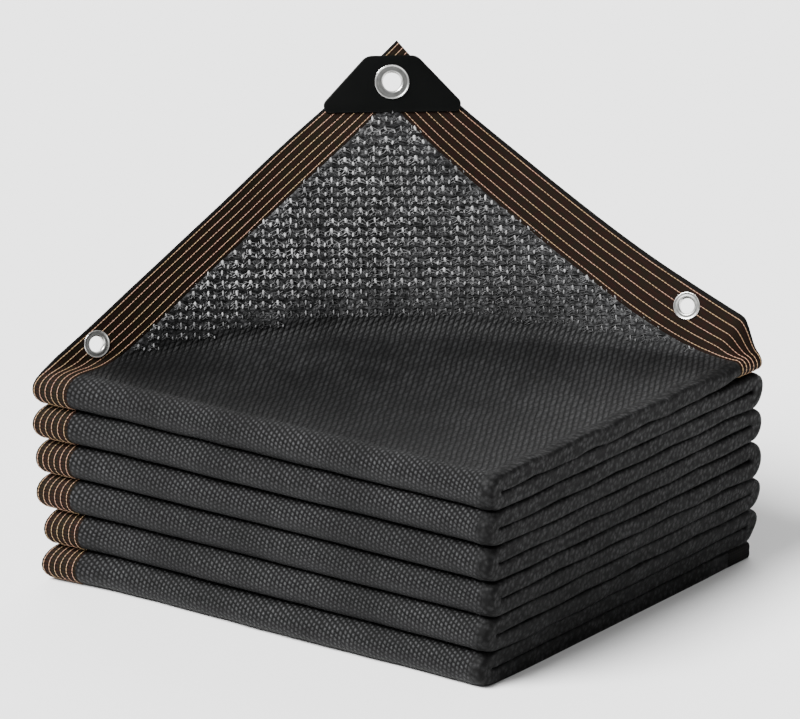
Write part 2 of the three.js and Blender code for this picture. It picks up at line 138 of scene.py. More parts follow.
PLY_ENDS = np.cumsum([PLY, WIDE_TURN, TUCKED, TIGHT_TURN, TUCKED, TIGHT_TURN])
PLY_TABLE = np.array([
    # start x, way, height or middle, radius, down
    [LEFT_X, 1, HALF_BUNDLE, 0, 0],
    [RIGHT_TURN, 1, 0, HALF_BUNDLE, -1],
    [RIGHT_TURN, -1, -HALF_BUNDLE, 0, 0],
    [LEFT_TURN, -1, -PLY_PITCH, PLY_PITCH / 2, 1],
    [LEFT_TURN, 1, -PLY_PITCH / 2, 0, 0],
    [RIGHT_TURN, 1, 0, PLY_PITCH / 2, 1],
    [RIGHT_TURN, -1, PLY_PITCH / 2, 0, 0],
])


def book_fold(across):
    part = np.searchsorted(PLY_ENDS, across)
    rest = across - np.concatenate([[0], PLY_ENDS])[part]
    start, way, level, radius, down = np.moveaxis(PLY_TABLE[part], -1, 0)
    angle = np.where(radius > 0, rest / np.maximum(radius, 1e-9), 0)
    turned = radius > 0
    x = start + way * np.where(turned, radius * np.sin(angle), rest)
    return x, np.where(turned, level - down * radius * np.cos(angle), level)


# %% Along the sheet: runs from front to back, and the noses that join them
RUN_ENDS = np.cumsum([FIRST_RUN, NOSE] + [MIDDLE_RUN, NOSE] * (RUNS - 2))
Row = namedtuple("Row", "run nose to_front z y turn")


def zigzag(along):
    part = np.searchsorted(RUN_ENDS, along)
    rest = along - np.concatenate([[0], RUN_ENDS])[part]
    run, nose = part // 2, part % 2 == 1
    to_front = run % 2 == 0
    z = HALF_BUNDLE + HALF + (RUNS - 1 - run) * RUN_PITCH
    start = np.where(run == 0, TOP_END_Y, np.where(to_front, BACK_Y, FRONT_Y))
    y = start + np.where(to_front, -rest, rest)
    return Row(run, nose, to_front, z, y, rest / MIDDLE_RADIUS)


def fold_value(values, z):
    place = np.clip((RUNS * RUN_PITCH - z) / (2 * RUN_PITCH) - 0.5, 0, len(values) - 1)
    upper = np.minimum(place.astype(int), len(values) - 2)
    share = smooth(place - upper, 0.2, 0.8)
    return values[upper] * (1 - share) + values[upper + 1] * share


# %% [markdown]
# ## The corner that stands up
# Behind a slanting, bowed fold the top layer rises and leans back, as cloth does that was lifted
# at its corner. The fold is a bend of a set radius, and beyond it the cloth goes on straight.

# %% Lifting the top layer behind the slanting fold
def from_fold(x, y):
    """Distances along and behind the straight line of the fold, the share of it, and its arch."""
    fx, fy = x - FOLD_LEFT[0], y - FOLD_LEFT[1]
    along, behind = fx * FOLD_LINE[0] + fy * FOLD_LINE[1], fx * FOLD_SIDE[0] + fy * FOLD_SIDE[1]
    share = np.clip(along / FOLD_LENGTH, 0, 1)
    return along, behind, share, np.sin(math.pi * share)


def off_fold(along, behind):
    return (FOLD_LEFT[0] + FOLD_LINE[0] * along + FOLD_SIDE[0] * behind,
            FOLD_LEFT[1] + FOLD_LINE[1] * along + FOLD_SIDE[1] * behind)


def bent(risen, radius, start):
    angle = np.minimum(risen / radius, LEAN)
    straight = risen - radius * angle
    return (start + radius * np.sin(angle) + straight * math.cos(LEAN),
            radius * (1 - np.cos(angle)) + straight * math.sin(LEAN))


def lift_corner(x, y, z, hold):
    along, behind, share, arch = from_fold(x, y)
    bow = FOLD_BOW * arch
    length = np.maximum(behind - bow, 0)
    right = share > TIP_SHARE
    beyond = (share - TIP_SHARE) / np.where(right, 1 - TIP_SHARE, TIP_SHARE)
    stretch = STRETCH + np.where(right, RIGHT_STRETCH, LEFT_STRETCH) * np.sin(math.pi * beyond) ** 2
    risen = length * (1 + stretch * smooth(length, 0, STRETCH_REACH))
    soft_behind, soft_up = bent(risen, BEND_ENDS + (BEND_MIDDLE - BEND_ENDS) * arch,
                                np.minimum(behind, bow))
    flat_behind, flat_up = bent(risen, BEND_TIP, TIP_BOW)
    flat = 1 - smooth(np.hypot(x - LEFT_X, y - TOP_END_Y), TIP_WITHIN, TIP_FADE)
    up = (soft_up * (1 - flat) + flat_up * flat) * hold
    moved = soft_behind * (1 - flat) + flat_behind * flat
    back = behind * (1 - hold) + moved * hold
    return (*off_fold(along + SWAY * up, back), z + up, up)


# %% The middle of the sheet's thickness at any place on it
SAG, SAG_X, SAG_Z, SAG_Y = 1.3, (150, 205), (4, 40), (FRONT_Y - 4, FRONT_Y + 32)
SAG_WAVES = [(0.6, 74, 0.11, 0.7), (0.4, 41, -0.07, 2.1)]
EDGE_HOLD = PLY - 26


def right_sag(x, y, z):
    """How far the layers wander up and down on the right face."""
    reach = SAG * smooth(x, *SAG_X) * smooth(z, *SAG_Z) * smooth(y, *SAG_Y)
    return reach * sum(share * np.sin(2 * math.pi * y / length + slant * z + start)
                       for share, length, slant, start in SAG_WAVES)


def sheet_middle(across, along):
    across, along = np.broadcast_arrays(np.asarray(across, float), np.asarray(along, float))
    x, height = book_fold(across)
    run, nose, to_front, z, y, turn = zigzag(along)
    from_left = x - LEFT_X
    side = np.where(to_front, height, -height)
    radius = MIDDLE_RADIUS + side
    reach = np.where(nose, radius * np.sin(turn), 0)
    round_it = np.where(nose, np.sin(turn) ** 2, 0)
    z = np.where(nose, z - MIDDLE_RADIUS + radius * np.cos(turn), z + side)
    ease = smooth(from_left, 0, FULL_REACH)
    fullness = FULL_LEFT + (FULL_FRONT - FULL_LEFT) * ease
    fold = np.minimum(run // 2, len(FOLD_OUT) - 1)
    wave = FOLD_WAVE[fold] * np.sin(2 * math.pi * x / WAVE_LENGTH + WAVE_START[fold])
    front = FRONT_Y - fullness * reach - (FOLD_OUT[fold] + wave) * round_it
    y = np.where(nose, np.where(to_front, front, BACK_Y + FULL_BACK * reach), y)
    swell = np.where(nose & to_front, END_SWELL * round_it * (1 - ease), 0)
    share = from_left / WIDTH
    x = x + (1 - share) * fold_value(LEFT_IN, z) - share * fold_value(RIGHT_IN, z) - swell
    z = z + right_sag(x, y, z)
    edge_hold = 1 - smooth(across, EDGE_HOLD, PLY + WIDE_TURN / 2)
    nose_hold = np.where(nose, 1 - smooth(turn, 0, math.pi / 2), 1.0)
    hold = edge_hold * np.where(run > 0, 0, nose_hold)
    lx, ly, lz, up = lift_corner(x, y, z, hold)
    kept = hold > 0
    return (np.stack([np.where(kept, lx, x), np.where(kept, ly, y), np.where(kept, lz, z)], -1),
            np.where(kept, up, 0))


# %% [markdown]
# ## Fullness and small wrinkles
# Under the weight of the stack each fold is squarer than a half circle, so that the layers close up
# at the front and the right. Folded cloth is never quite even either: slow waves of seeded
# direction push the outer layer out by up to about a millimetre. A cloth simulation would do both,
# but the folds are tight and a rule keeps every layer clear of the next.

# %% Relief of the outer layer, and the finished surface
WAVES, WAVE_SPAN, WAVE_RANGE = 7, (34, 95), 1.4
chance = np.random.default_rng(31)
WAVE_TURNS = chance.uniform(0, math.pi, WAVES)
WAVE_STARTS = chance.uniform(0, 2 * math.pi, WAVES)
WAVE_SIZES = chance.uniform(*WAVE_SPAN, WAVES)
TOP_FADE, LOWER_FADE = (31, 60), (34, 90)
SIDE_POWER, SIDE_SOFTER, SIDE_BACK = 9, 5.2, (90, 160)
SIDE_CLOSE_ABOVE, SIDE_CLOSE_BELOW, SIDE_FADE = 0.9, 1.15, 16
FRONT_POWER, FRONT_SQUARE, FRONT_CLOSE, FRONT_FADE = 2.6, 12, 0.72, 18
NOSE_WRINKLE, TOP_WRINKLE, SIDE_WRINKLE = 0.9, 0.8, 0.5


def unevenness(x, y):
    total = sum(np.sin(2 * math.pi * (x * math.cos(turn) + y * math.sin(turn)) / size + start)
                for turn, start, size in zip(WAVE_TURNS, WAVE_STARTS, WAVE_SIZES))
    return 0.5 + 0.5 * total / WAVES ** 0.5 / WAVE_RANGE


def squared_off(angle, power, radius):
    """How far a squarer curve lies outside a circle, and the cosine that closes the layers up."""
    cosine, sine = np.abs(np.cos(angle)), np.abs(np.sin(angle))
    return ((cosine ** power + sine ** power) ** (-1 / power) - 1) * radius, cosine


def side_fullness(across, along):
    angle = np.clip((across - PLY) / HALF_BUNDLE, 0, math.pi)
    power = SIDE_POWER - SIDE_SOFTER * smooth(zigzag(along).y, *SIDE_BACK)
    squarer, cosine = squared_off(angle, power, HALF_BUNDLE + HALF)
    close = np.where(angle < math.pi / 2, SIDE_CLOSE_ABOVE, SIDE_CLOSE_BELOW) * cosine
    reach = smooth(across, PLY - SIDE_FADE, PLY)
    reach *= 1 - smooth(across, PLY + WIDE_TURN, PLY + WIDE_TURN + SIDE_FADE)
    return reach * (squarer + close)


def front_fullness(across, along):
    row = zigzag(along)
    angle = np.where(row.nose, row.turn, np.where(row.to_front, 0, math.pi))
    squarer, cosine = squared_off(angle, FRONT_POWER, FRONT_SQUARE)
    reach = np.where(row.nose, row.to_front, 1 - smooth(row.y, FRONT_Y, FRONT_Y + FRONT_FADE))
    return reach * (1 - smooth(across, PLY - 4, PLY + 3)) * (squarer + FRONT_CLOSE * cosine)


def relief(across, along):
    outer = 1 - smooth(across, PLY + WIDE_TURN * 0.6, PLY + WIDE_TURN)
    row = zigzag(along)
    on_nose = np.where(row.nose & row.to_front, np.sin(row.turn) ** 2, 0)
    top = np.where(row.run == 0, smooth(np.minimum(across, along), *TOP_FADE), 0)
    side = smooth(across, PLY - 4, PLY + WIDE_TURN * 0.3)
    amount = np.maximum(np.maximum(NOSE_WRINKLE * on_nose, TOP_WRINKLE * top), SIDE_WRINKLE * side)
    lower = np.where(row.run == 0, smooth(along, *LOWER_FADE), 1.0)
    return (outer * amount * unevenness(across, along) + lower * side_fullness(across, along)
            + front_fullness(across, along))


def sheet_surface(across, along, height):
    """Points at a height over the sheet's middle, the way out of its face, and how far it is lifted."""
    across, along = np.broadcast_arrays(np.asarray(across, float), np.asarray(along, float))
    step = 0.02
    middle, up = sheet_middle(across, along)
    over = sheet_middle(across + step, along)[0] - sheet_middle(across - step, along)[0]
    down = sheet_middle(across, along + step)[0] - sheet_middle(across, along - step)[0]
    out = np.cross(down, over)
    out /= np.maximum(np.linalg.norm(out, axis=-1, keepdims=True), 1e-12)
    lift = np.asarray(height) + relief(across, along)
    points = middle + out * lift[..., None]
    points[..., 2] = np.maximum(points[..., 2], 0)
    return points * MM, out, up


# %% [markdown]
# ## Meshes from grids
# Cloth, tape, eyelets and plate are all grids or rings of points. One helper turns points, faces and
# flat distances into a mesh with its own map, and another joins ring to ring.

# %% Helper for meshes
def make_mesh(name, points, faces, maps=None, values=None):
    mesh = bpy.data.meshes.new(name)
    mesh.from_pydata(np.asarray(points).tolist(), [], faces)
    mesh.validate()
    mesh.polygons.foreach_set("use_smooth", [True] * len(mesh.polygons))
    corner = np.zeros(len(mesh.loops), int)
    mesh.loops.foreach_get("vertex_index", corner)
    for title, flat in (maps or {}).items():
        layer = mesh.uv_layers.new(name=title)
        layer.data.foreach_set("uv", np.asarray(flat, np.float32)[corner].ravel())
    for title, numbers in (values or {}).items():
        attribute = mesh.attributes.new(title, "FLOAT", "POINT")
        attribute.data.foreach_set("value", np.asarray(numbers, np.float32))
    piece = bpy.data.objects.new(name, mesh)
    bpy.context.scene.collection.objects.link(piece)
    return piece


def ring_faces(at):
    """Faces between one ring of points and the next, where each row of at is a ring."""
    after = np.roll(at, -1, 1)
    return np.stack([at[:-1], after[:-1], after[1:], at[1:]], -1).reshape(-1, 4)


def face_outwards(piece):
    work = bmesh.new()
    work.from_mesh(piece.data)
    bmesh.ops.recalc_face_normals(work, faces=work.faces)
    if work.calc_volume(signed=True) < 0:
        bmesh.ops.reverse_faces(work, faces=work.faces)
    work.to_mesh(piece.data)
    work.free()


def triangles(piece):
    return sum(len(face.vertices) - 2 for face in piece.data.polygons)


# %% [markdown]
# ## The knitted sheet
# The cloth is one knitted sheet of 2.6 mm. Its grid is close where it bends and wide where it lies
# hidden, so that the whole sheet stays light. Two more maps, for the top and for the sides, hold the
# knit's own count: how many wales across and how many courses along. Both slant as the knit does.

# %% Rows and columns of the sheet
def fold_crossing(across):
    """How far along the sheet the slanting fold crosses each column."""
    x, _ = book_fold(np.minimum(across, PLY))
    share = np.linspace(0, 1, 2001)
    line_x, line_y = off_fold(FOLD_LENGTH * share, FOLD_BOW * np.sin(math.pi * share))
    return TOP_END_Y - np.interp(x, line_x, line_y)


STANDING_ROWS, BEND_ROWS, TOP_ROWS, NOSE_ROWS, RUN_ROWS = 46, 18, 24, 12, 9
BEND_BEHIND, BEND_BEFORE, LEAST_ROW = 40, 5, 0.25


def top_rows(across, start):
    cross = fold_crossing(across)
    bend_from, bend_to = cross - BEND_BEHIND, cross + BEND_BEFORE
    rows = np.concatenate([
        np.linspace(start, bend_from, STANDING_ROWS, endpoint=False),
        np.linspace(bend_from, bend_to, BEND_ROWS, endpoint=False),
        np.linspace(bend_to, FIRST_RUN, TOP_ROWS)])
    least = LEAST_ROW * np.arange(len(rows))
    return np.clip(np.maximum.accumulate(rows), start + least, FIRST_RUN - least[::-1])


def lower_rows(end):
    rows, along = [], FIRST_RUN
    for run in range(RUNS - 1):
        rows += list(along + NOSE * np.arange(1, NOSE_ROWS + 1) / NOSE_ROWS)
        along += NOSE
        length = MIDDLE_RUN if run < RUNS - 2 else end - along
        rows += list(along + length * np.arange(1, RUN_ROWS + 1) / RUN_ROWS)
        along += length
    return np.array(rows)


def sheet_columns(start, end):
    steps = [(PLY, 62), (WIDE_TURN, 12), (TUCKED, 24), (TIGHT_TURN, 6), (TUCKED, 6),
             (TIGHT_TURN, 6), (PLY, 6)]
    columns, across = [], 0
    for length, count in steps:
        columns += list(across + length * np.arange(1, count + 1) / count)
        across += length
    columns = np.array(columns)
    return np.concatenate([[start], columns[(columns > start + 1) & (columns < end - 1)], [end]])


# %% The knit's count of wales and courses, on top and on the sides
TOP_WALE, TOP_COURSE, STANDING_COURSE, TOP_TURN = 4.35, 14.3, 5.0, math.radians(30)
SIDE_WALE, RUN_COURSE, NOSE_COURSE, NOSE_LEAN = 3.9, 6.0, 1.8, 0.4


def top_count(across, along):
    x, y = across + LEFT_X, TOP_END_Y - along
    _, behind, _, arch = from_fold(x, y)
    standing = np.maximum(behind - FOLD_BOW * arch, 0)
    closer = standing * (1 / STANDING_COURSE - 1 / TOP_COURSE)
    cosine, sine = math.cos(TOP_TURN), math.sin(TOP_TURN)
    return np.stack([(cosine * x + sine * y) / TOP_WALE,
                     (cosine * y - sine * x) / TOP_COURSE + closer], -1)


def side_count(across, along):
    noses = np.clip(along[..., None] - np.concatenate([[0], RUN_ENDS])[1::2], 0, NOSE).sum(-1)
    courses = (along - noses) / RUN_COURSE + noses / NOSE_COURSE
    return np.stack([(across + NOSE_LEAN * noses) / SIDE_WALE, courses], -1)


# %% Where the top knit shows, how crisp the knit is, and where the loops take over
FRONT_EDGE, SIDE_EDGE, MIDDLE_RISE = (FIRST_RUN + 0.5, FIRST_RUN + 2.5), (PLY - 6, PLY - 1), 16
DULL, FLAT_CRISP = 0.22, 0.6


def top_share(across, along):
    return (1 - smooth(across, *SIDE_EDGE)) * (1 - smooth(along, *FRONT_EDGE))


def crispness(along):
    row = zigzag(along)
    band = smooth(row.turn, 0.1, 0.7) * (1 - smooth(row.turn, 1.3, 2.2))
    return np.where(row.nose, DULL + (1 - DULL) * band, FLAT_CRISP)


def bare_rise(across, along, raised):
    """The rise, less what the bend at the middle of the fold adds, so loops start behind the bend."""
    _, _, _, arch = from_fold(across + LEFT_X, TOP_END_Y - along)
    return raised - MIDDLE_RISE * arch ** 1.5


def twice(grid):
    """The same values for the upper and the lower face of the sheet."""
    return np.concatenate([grid, grid])


# %% Build the sheet
SEAM = 30.3
columns = sheet_columns(SEAM, SHEET_WIDTH - SEAM)
rows = np.stack([np.concatenate([top_rows(column, SEAM), lower_rows(SHEET_LENGTH - SEAM)])
                 for column in columns])
across = np.repeat(columns[:, None], rows.shape[1], 1)
upper, _, raised = sheet_surface(across, rows, HALF)
lower, _, _ = sheet_surface(across, rows, -HALF)
n, m = rows.shape
place = np.arange(n * m).reshape(n, m)
below = place + n * m
faces = np.concatenate([
    np.stack([place[:-1, :-1], place[:-1, 1:], place[1:, 1:], place[1:, :-1]], -1).reshape(-1, 4),
    np.stack([below[:-1, :-1], below[1:, :-1], below[1:, 1:], below[:-1, 1:]], -1).reshape(-1, 4),
    np.stack([place[:-1, 0], place[1:, 0], below[1:, 0], below[:-1, 0]], -1),
    np.stack([place[1:, -1], place[:-1, -1], below[:-1, -1], below[1:, -1]], -1),
    np.stack([place[0, 1:], place[0, :-1], below[0, :-1], below[0, 1:]], -1),
    np.stack([place[-1, :-1], place[-1, 1:], below[-1, 1:], below[-1, :-1]], -1)])
maps = {"flat": np.stack([across, rows], -1) * MM, "top_knit": top_count(across, rows),
        "side_knit": side_count(across, rows)}
values = {"raised": bare_rise(across, rows, raised), "on_top": top_share(across, rows),
          "crisp": crispness(rows), "edge": smooth(across, PLY - 8, PLY - 2)}
cloth = make_mesh("knit_sheet", np.concatenate([upper.reshape(-1, 3), lower.reshape(-1, 3)]),
                  faces.tolist(),
                  {title: twice(grid.reshape(-1, 2)) for title, grid in maps.items()},
                  {title: twice(grid.ravel()) for title, grid in values.items()})
print("sheet triangles", triangles(cloth), "grid", n, m)

# %% [markdown]
# ## The edge tape
# A woven tape is folded over the sheet's raw edge and sewn down. Its section is a flat loop with a
# round outer edge, a little prouder than the knit. The section is swept along each edge with the
# same fold function, so the tape turns with every fold.

# %% Tape section and sweep
TAPE_WIDTH, TAPE_HALF = 30, 1.55
# For each edge, the place on the sheet at an inset from it and a row along it.
EDGES = {
    "side": lambda inset, row: (inset, row),
    "inner": lambda inset, row: (SHEET_WIDTH - inset, row),
    "top": lambda inset, row: (row, inset),
    "bottom": lambda inset, row: (row, SHEET_LENGTH - inset),
}


def tape_section():
    """Pairs of inset and height: square inside, with a half round outer edge."""
    inner = [(31.5, 1.2), (31.2, 1.5), (30.6, TAPE_HALF)]
    top = [(a, TAPE_HALF) for a in np.linspace(28.5, 3.5, 10)]
    edge = [(1.7 - 1.7 * math.cos(t), TAPE_HALF * math.sin(t))
            for t in np.linspace(math.pi / 2, -math.pi / 2, 9)]
    half = inner + top
    return half + edge + [(a, -h) for a, h in reversed(half)]


def sweep_tape(name, edge, rows):
    inset, height = np.array(tape_section()).T
    across, along = np.broadcast_arrays(*EDGES[edge](inset[None, :], rows[:, None]))
    points, _, _ = sheet_surface(across, along, height)
    at = np.arange(across.size).reshape(across.shape)
    faces = ring_faces(at).tolist() + [at[0].tolist(), at[-1][::-1].tolist()]
    flat = np.stack(np.broadcast_arrays(inset[None, :], rows[:, None]), -1).reshape(-1, 2) * MM
    piece = make_mesh(name, points.reshape(-1, 3), faces, {"flat": flat})
    face_outwards(piece)
    return piece


# %% The four tapes
side_rows = np.concatenate([top_rows(TAPE_WIDTH / 2, 0), lower_rows(SHEET_LENGTH)])
end_columns = sheet_columns(TAPE_WIDTH, SHEET_WIDTH)
end_columns = np.unique(np.concatenate([end_columns, np.arange(TAPE_WIDTH, PLY, 4.0)]))
side_tape = sweep_tape("side_tape", "side", side_rows)
inner_tape = sweep_tape("inner_tape", "inner", side_rows[side_rows >= TAPE_WIDTH])
top_tape = sweep_tape("top_end_tape", "top", end_columns)
bottom_tape = sweep_tape("bottom_end_tape", "bottom", end_columns[end_columns < SHEET_WIDTH - TAPE_WIDTH])
tapes = [side_tape, inner_tape, top_tape, bottom_tape]
print("tape triangles", [triangles(tape) for tape in tapes])

# %% [markdown]
# ## Seats for the hardware
# A seat is a place on the cloth with its axis out of the cloth's face. The plate and the eyelets
# are made round the origin and then set there, with their place put into the mesh.

# %% Seats and holes
CORNER_PLACE, LEFT_PLACE, RIGHT_PLACE = (21.8, 21.8), (12.4, 328), (362, 12)
# Radius of the hole, then of the rim.
CORNER_EYELET, EDGE_EYELET = (7.25, 14), (6.1, 11.2)
CORNER_STAND, HOLE_ROOM, PIN_HALF, SIT_OFF = 1.9, 0.7, 12, 0.3
ROUND_STEPS = 96


def seat(across, along):
    middle, _ = sheet_middle(across, along)
    out = Vector(sheet_surface(across, along, 0)[1])
    up = (Vector((0, 0, 1)) - out * out.z).normalized()
    turn = Matrix((up.cross(out), up, out)).transposed().to_4x4()
    return Matrix.Translation(Vector(middle * MM)) @ turn


def lathe(name, profile, polish=None):
    points = np.array(profile) * MM
    angles = 2 * math.pi * np.arange(ROUND_STEPS) / ROUND_STEPS
    ring = np.stack([points[:, None, 0] * np.cos(angles), points[:, None, 0] * np.sin(angles),
                     points[:, None, 1] + 0 * angles], -1)
    at = np.arange(len(points) * ROUND_STEPS).reshape(len(points), ROUND_STEPS)
    faces = ring_faces(np.concatenate([at, at[:1]]))
    values = {} if polish is None else {"polish": np.repeat(polish, ROUND_STEPS)}
    piece = make_mesh(name, ring.reshape(-1, 3), faces.tolist(), None, values)
    face_outwards(piece)
    return piece


def cut_hole(piece, place, radius):
    pin = lathe("pin", [(0.001, -PIN_HALF), (radius, -PIN_HALF), (radius, PIN_HALF), (0.001, PIN_HALF)])
    pin.data.transform(place)
    cut = piece.modifiers.new("hole", "BOOLEAN")
    cut.operation, cut.solver, cut.object = "DIFFERENCE", "EXACT", pin
    graph = bpy.context.evaluated_depsgraph_get()
    piece.data = bpy.data.meshes.new_from_object(piece.evaluated_get(graph))
    piece.modifiers.clear()
    bpy.data.objects.remove(pin)


corner_seat, left_seat, right_seat = seat(*CORNER_PLACE), seat(*LEFT_PLACE), seat(*RIGHT_PLACE)
cut_hole(side_tape, corner_seat, CORNER_EYELET[0] + HOLE_ROOM)
cut_hole(side_tape, left_seat, EDGE_EYELET[0] + HOLE_ROOM)
cut_hole(top_tape, right_seat, EDGE_EYELET[0] + HOLE_ROOM)
print("tapes after the holes", triangles(side_tape), triangles(top_tape))

# %% [markdown]
# ## Eyelets
# An eyelet is a spun metal cup: a flange with a rolled rim, a flared throat and a washer behind.
# Spinning a smooth profile makes it, with the flare and rim as arcs.

# %% Eyelets
def arc(centre_r, centre_h, radius, start, end, steps):
    turns = np.radians(np.linspace(start, end, steps))
    return [(centre_r + radius * math.cos(t), centre_h + radius * math.sin(t)) for t in turns]


def eyelet(name, hole, rim, over, place):
    front, back = HALF + SIT_OFF + over, -HALF - SIT_OFF
    flare, roll = 0.22 * (rim - hole) + 0.7, 0.55
    # Flared throat, flange, rolled rim, its underside, the barrel, then the washer and its curl.
    profile = arc(hole + flare, front + 0.9 - flare, flare, 180, 90, 9)
    profile += [(rim - 2.2, front + 0.62), (rim - 1.5, front + 0.6)]
    profile += arc(rim - roll, front + roll, roll, 120, -60, 9)
    profile += [(rim - 1.3, front + 0.05), (hole + 0.6, front)]
    profile += [(hole + 0.6, back), (rim - 0.5, back)]
    profile += arc(rim - 0.45, back - 0.5, 0.45, 60, -90, 6)
    profile += arc(hole + 0.9, back - 0.2, 0.75, -90, -170, 5)
    radius, height = np.array(profile).T
    # The rolled rim and the throat are smoother and carry a painted highlight.
    rolled = smooth(radius, rim - 1.5, rim - 0.9)
    throat = 1 - smooth(radius, hole + 0.35 * flare, hole + 0.9 * flare)
    piece = lathe(name, profile, np.maximum(rolled, throat))
    piece.data.transform(place)
    return piece


eyelets = [eyelet("corner_eyelet_ring", *CORNER_EYELET, CORNER_STAND, corner_seat),
           eyelet("left_eyelet_ring", *EDGE_EYELET, 0, left_seat),
           eyelet("right_eyelet_ring", *EDGE_EYELET, 0, right_seat)]
print("eyelet triangles", [triangles(ring) for ring in eyelets])

# %% [markdown]
# ## Corner plate
# The corner plate is a moulded slab with a sloping outline. Its edges are rolled over in a quarter
# round, and the outline's corners are rounded too.

# %% Corner plate
PLATE_TOP, PLATE_BOTTOM, PLATE_RISE, PLATE_DROP, PLATE_SIDE = 41, 112.5, 21.4, 24.8, 8
PLATE_THICK, PLATE_ROUND, PLATE_EDGE = 1.6, 5, 1.1


def plate_outline():
    corners = [Vector((x, y)) for x, y in [
        (-PLATE_BOTTOM / 2 + 2, -PLATE_DROP), (PLATE_BOTTOM / 2 - 2, -PLATE_DROP),
        (PLATE_BOTTOM / 2, PLATE_SIDE - PLATE_DROP), (PLATE_TOP / 2, PLATE_RISE),
        (-PLATE_TOP / 2, PLATE_RISE), (-PLATE_BOTTOM / 2, PLATE_SIDE - PLATE_DROP)]]
    points = []
    for i, corner in enumerate(corners):
        before, after = corners[i - 1], corners[(i + 1) % len(corners)]
        trim = min(PLATE_ROUND, 0.45 * min((corner - before).length, (corner - after).length))
        enter = corner + (before - corner).normalized() * trim
        leave = corner + (after - corner).normalized() * trim
        for t in np.linspace(0, 1, 9):
            points.append(enter * (1 - t) ** 2 + corner * 2 * t * (1 - t) + leave * t * t)
    return points


def make_plate():
    outline = plate_outline()
    count = len(outline)
    normals = []
    for i in range(count):
        way = (outline[(i + 1) % count] - outline[i - 1]).normalized()
        normals.append(Vector((way.y, -way.x)))
    base = HALF + SIT_OFF
    upright = base + PLATE_THICK - PLATE_EDGE
    rings = [(0.0, base), (0.0, upright)]
    rings += [(PLATE_EDGE * (1 - math.cos(t)), upright + PLATE_EDGE * math.sin(t))
              for t in np.linspace(0.3, math.pi / 2, 5)]
    points = [(*(p - nrm * inset), h) for inset, h in rings for p, nrm in zip(outline, normals)]
    at = np.arange(len(points)).reshape(len(rings), count)
    faces = ring_faces(at).tolist() + [at[0][::-1].tolist(), at[-1].tolist()]
    piece = make_mesh("plate_moulding", np.array(points) * MM, faces)
    face_outwards(piece)
    piece.data.transform(corner_seat)
    cut_hole(piece, corner_seat, CORNER_EYELET[0] + HOLE_ROOM)
    piece.data.set_sharp_from_angle(angle=math.radians(35))
    return piece


plate = make_plate()
print("plate triangles", triangles(plate))

# %% [markdown]
# ## Shader maths
# Materials here are sums of simple patterns. A small class wraps a socket, so that a pattern reads
# as a formula, and each operator adds one Math node.

# %% A socket that can be added, multiplied and so on
class Flow:
    def __init__(self, finish, socket):
        self.finish, self.socket = finish, socket

    def maths(self, operation, *others):
        return self.finish.node("ShaderNodeMath", {"operation": operation},
                                dict(enumerate([self, *others])))

    def __add__(self, other):
        return self.maths("ADD", other)

    def __sub__(self, other):
        return self.maths("SUBTRACT", other)

    def __rsub__(self, other):
        return self * -1 + other

    def __mul__(self, other):
        return self.maths("MULTIPLY", other)

    def __pow__(self, other):
        return self.maths("POWER", other)

    __radd__ = __add__
    __rmul__ = __mul__

    def sin(self):
        return self.maths("SINE")

    def floor(self):
        return self.maths("FLOOR")

    def fract(self):
        return self.maths("FRACT")

    def most(self, other):
        return self.maths("MAXIMUM", other)

    def least(self, other):
        return self.maths("MINIMUM", other)

    def toward(self, other, share):
        return self + (other - self) * share

    def ease(self, low, high):
        return self.finish.node("ShaderNodeMapRange", {"interpolation_type": "SMOOTHSTEP"},
                                {"Value": self, "From Min": low, "From Max": high})


class Finish:
    """A material under construction."""

    def __init__(self, name, **constants):
        self.material = bpy.data.materials.new(name)
        self.material.use_nodes = True
        self.tree = self.material.node_tree
        self.shader = self.tree.nodes["Principled BSDF"]
        for socket, value in constants.items():
            self.shader.inputs[socket.replace("_", " ")].default_value = value

    def node(self, kind, settings=None, sockets=None, output=0):
        made = self.tree.nodes.new(kind)
        for key, value in (settings or {}).items():
            setattr(made, key, value)
        for key, value in (sockets or {}).items():
            if isinstance(value, Flow):
                self.tree.links.new(value.socket, made.inputs[key])
            else:
                made.inputs[key].default_value = value
        return Flow(self, made.outputs[output])

    def flat_map(self, name):
        return self.split(self.node("ShaderNodeUVMap", {"uv_map": name}))

    def spot(self):
        """The place in the piece's own metres, so a scale of 100 gives patches of about 10 mm."""
        return self.node("ShaderNodeTexCoord", output=3)

    def split(self, vector):
        parts = self.tree.nodes.new("ShaderNodeSeparateXYZ")
        self.tree.links.new(vector.socket, parts.inputs[0])
        return [Flow(self, out) for out in parts.outputs]

    def join(self, x, y, z=0.0):
        return self.node("ShaderNodeCombineXYZ", None, {"X": x, "Y": y, "Z": z})

    def noise(self, vector, scale, detail=2.0):
        return self.node("ShaderNodeTexNoise", {"noise_dimensions": "3D"},
                         {"Vector": vector, "Scale": scale, "Detail": detail})

    def chance(self, vector):
        return self.node("ShaderNodeTexWhiteNoise", {"noise_dimensions": "3D"}, {"Vector": vector})

    def mix(self, share, first, second):
        first, second = [c if isinstance(c, Flow) else (*c, 1) for c in (first, second)]
        return self.node("ShaderNodeMix", {"data_type": "RGBA"}, {0: share, 6: first, 7: second}, output=2)

    def wire(self, socket, value):
        self.tree.links.new(value.socket, self.shader.inputs[socket])

    def bump(self, height, distance, strength=1.0):
        self.wire("Normal", self.node("ShaderNodeBump", None, {
            "Height": height, "Distance": distance, "Strength": strength}))

    def attribute(self, name):
        return self.node("ShaderNodeAttribute", {"attribute_name": name}, output=2)


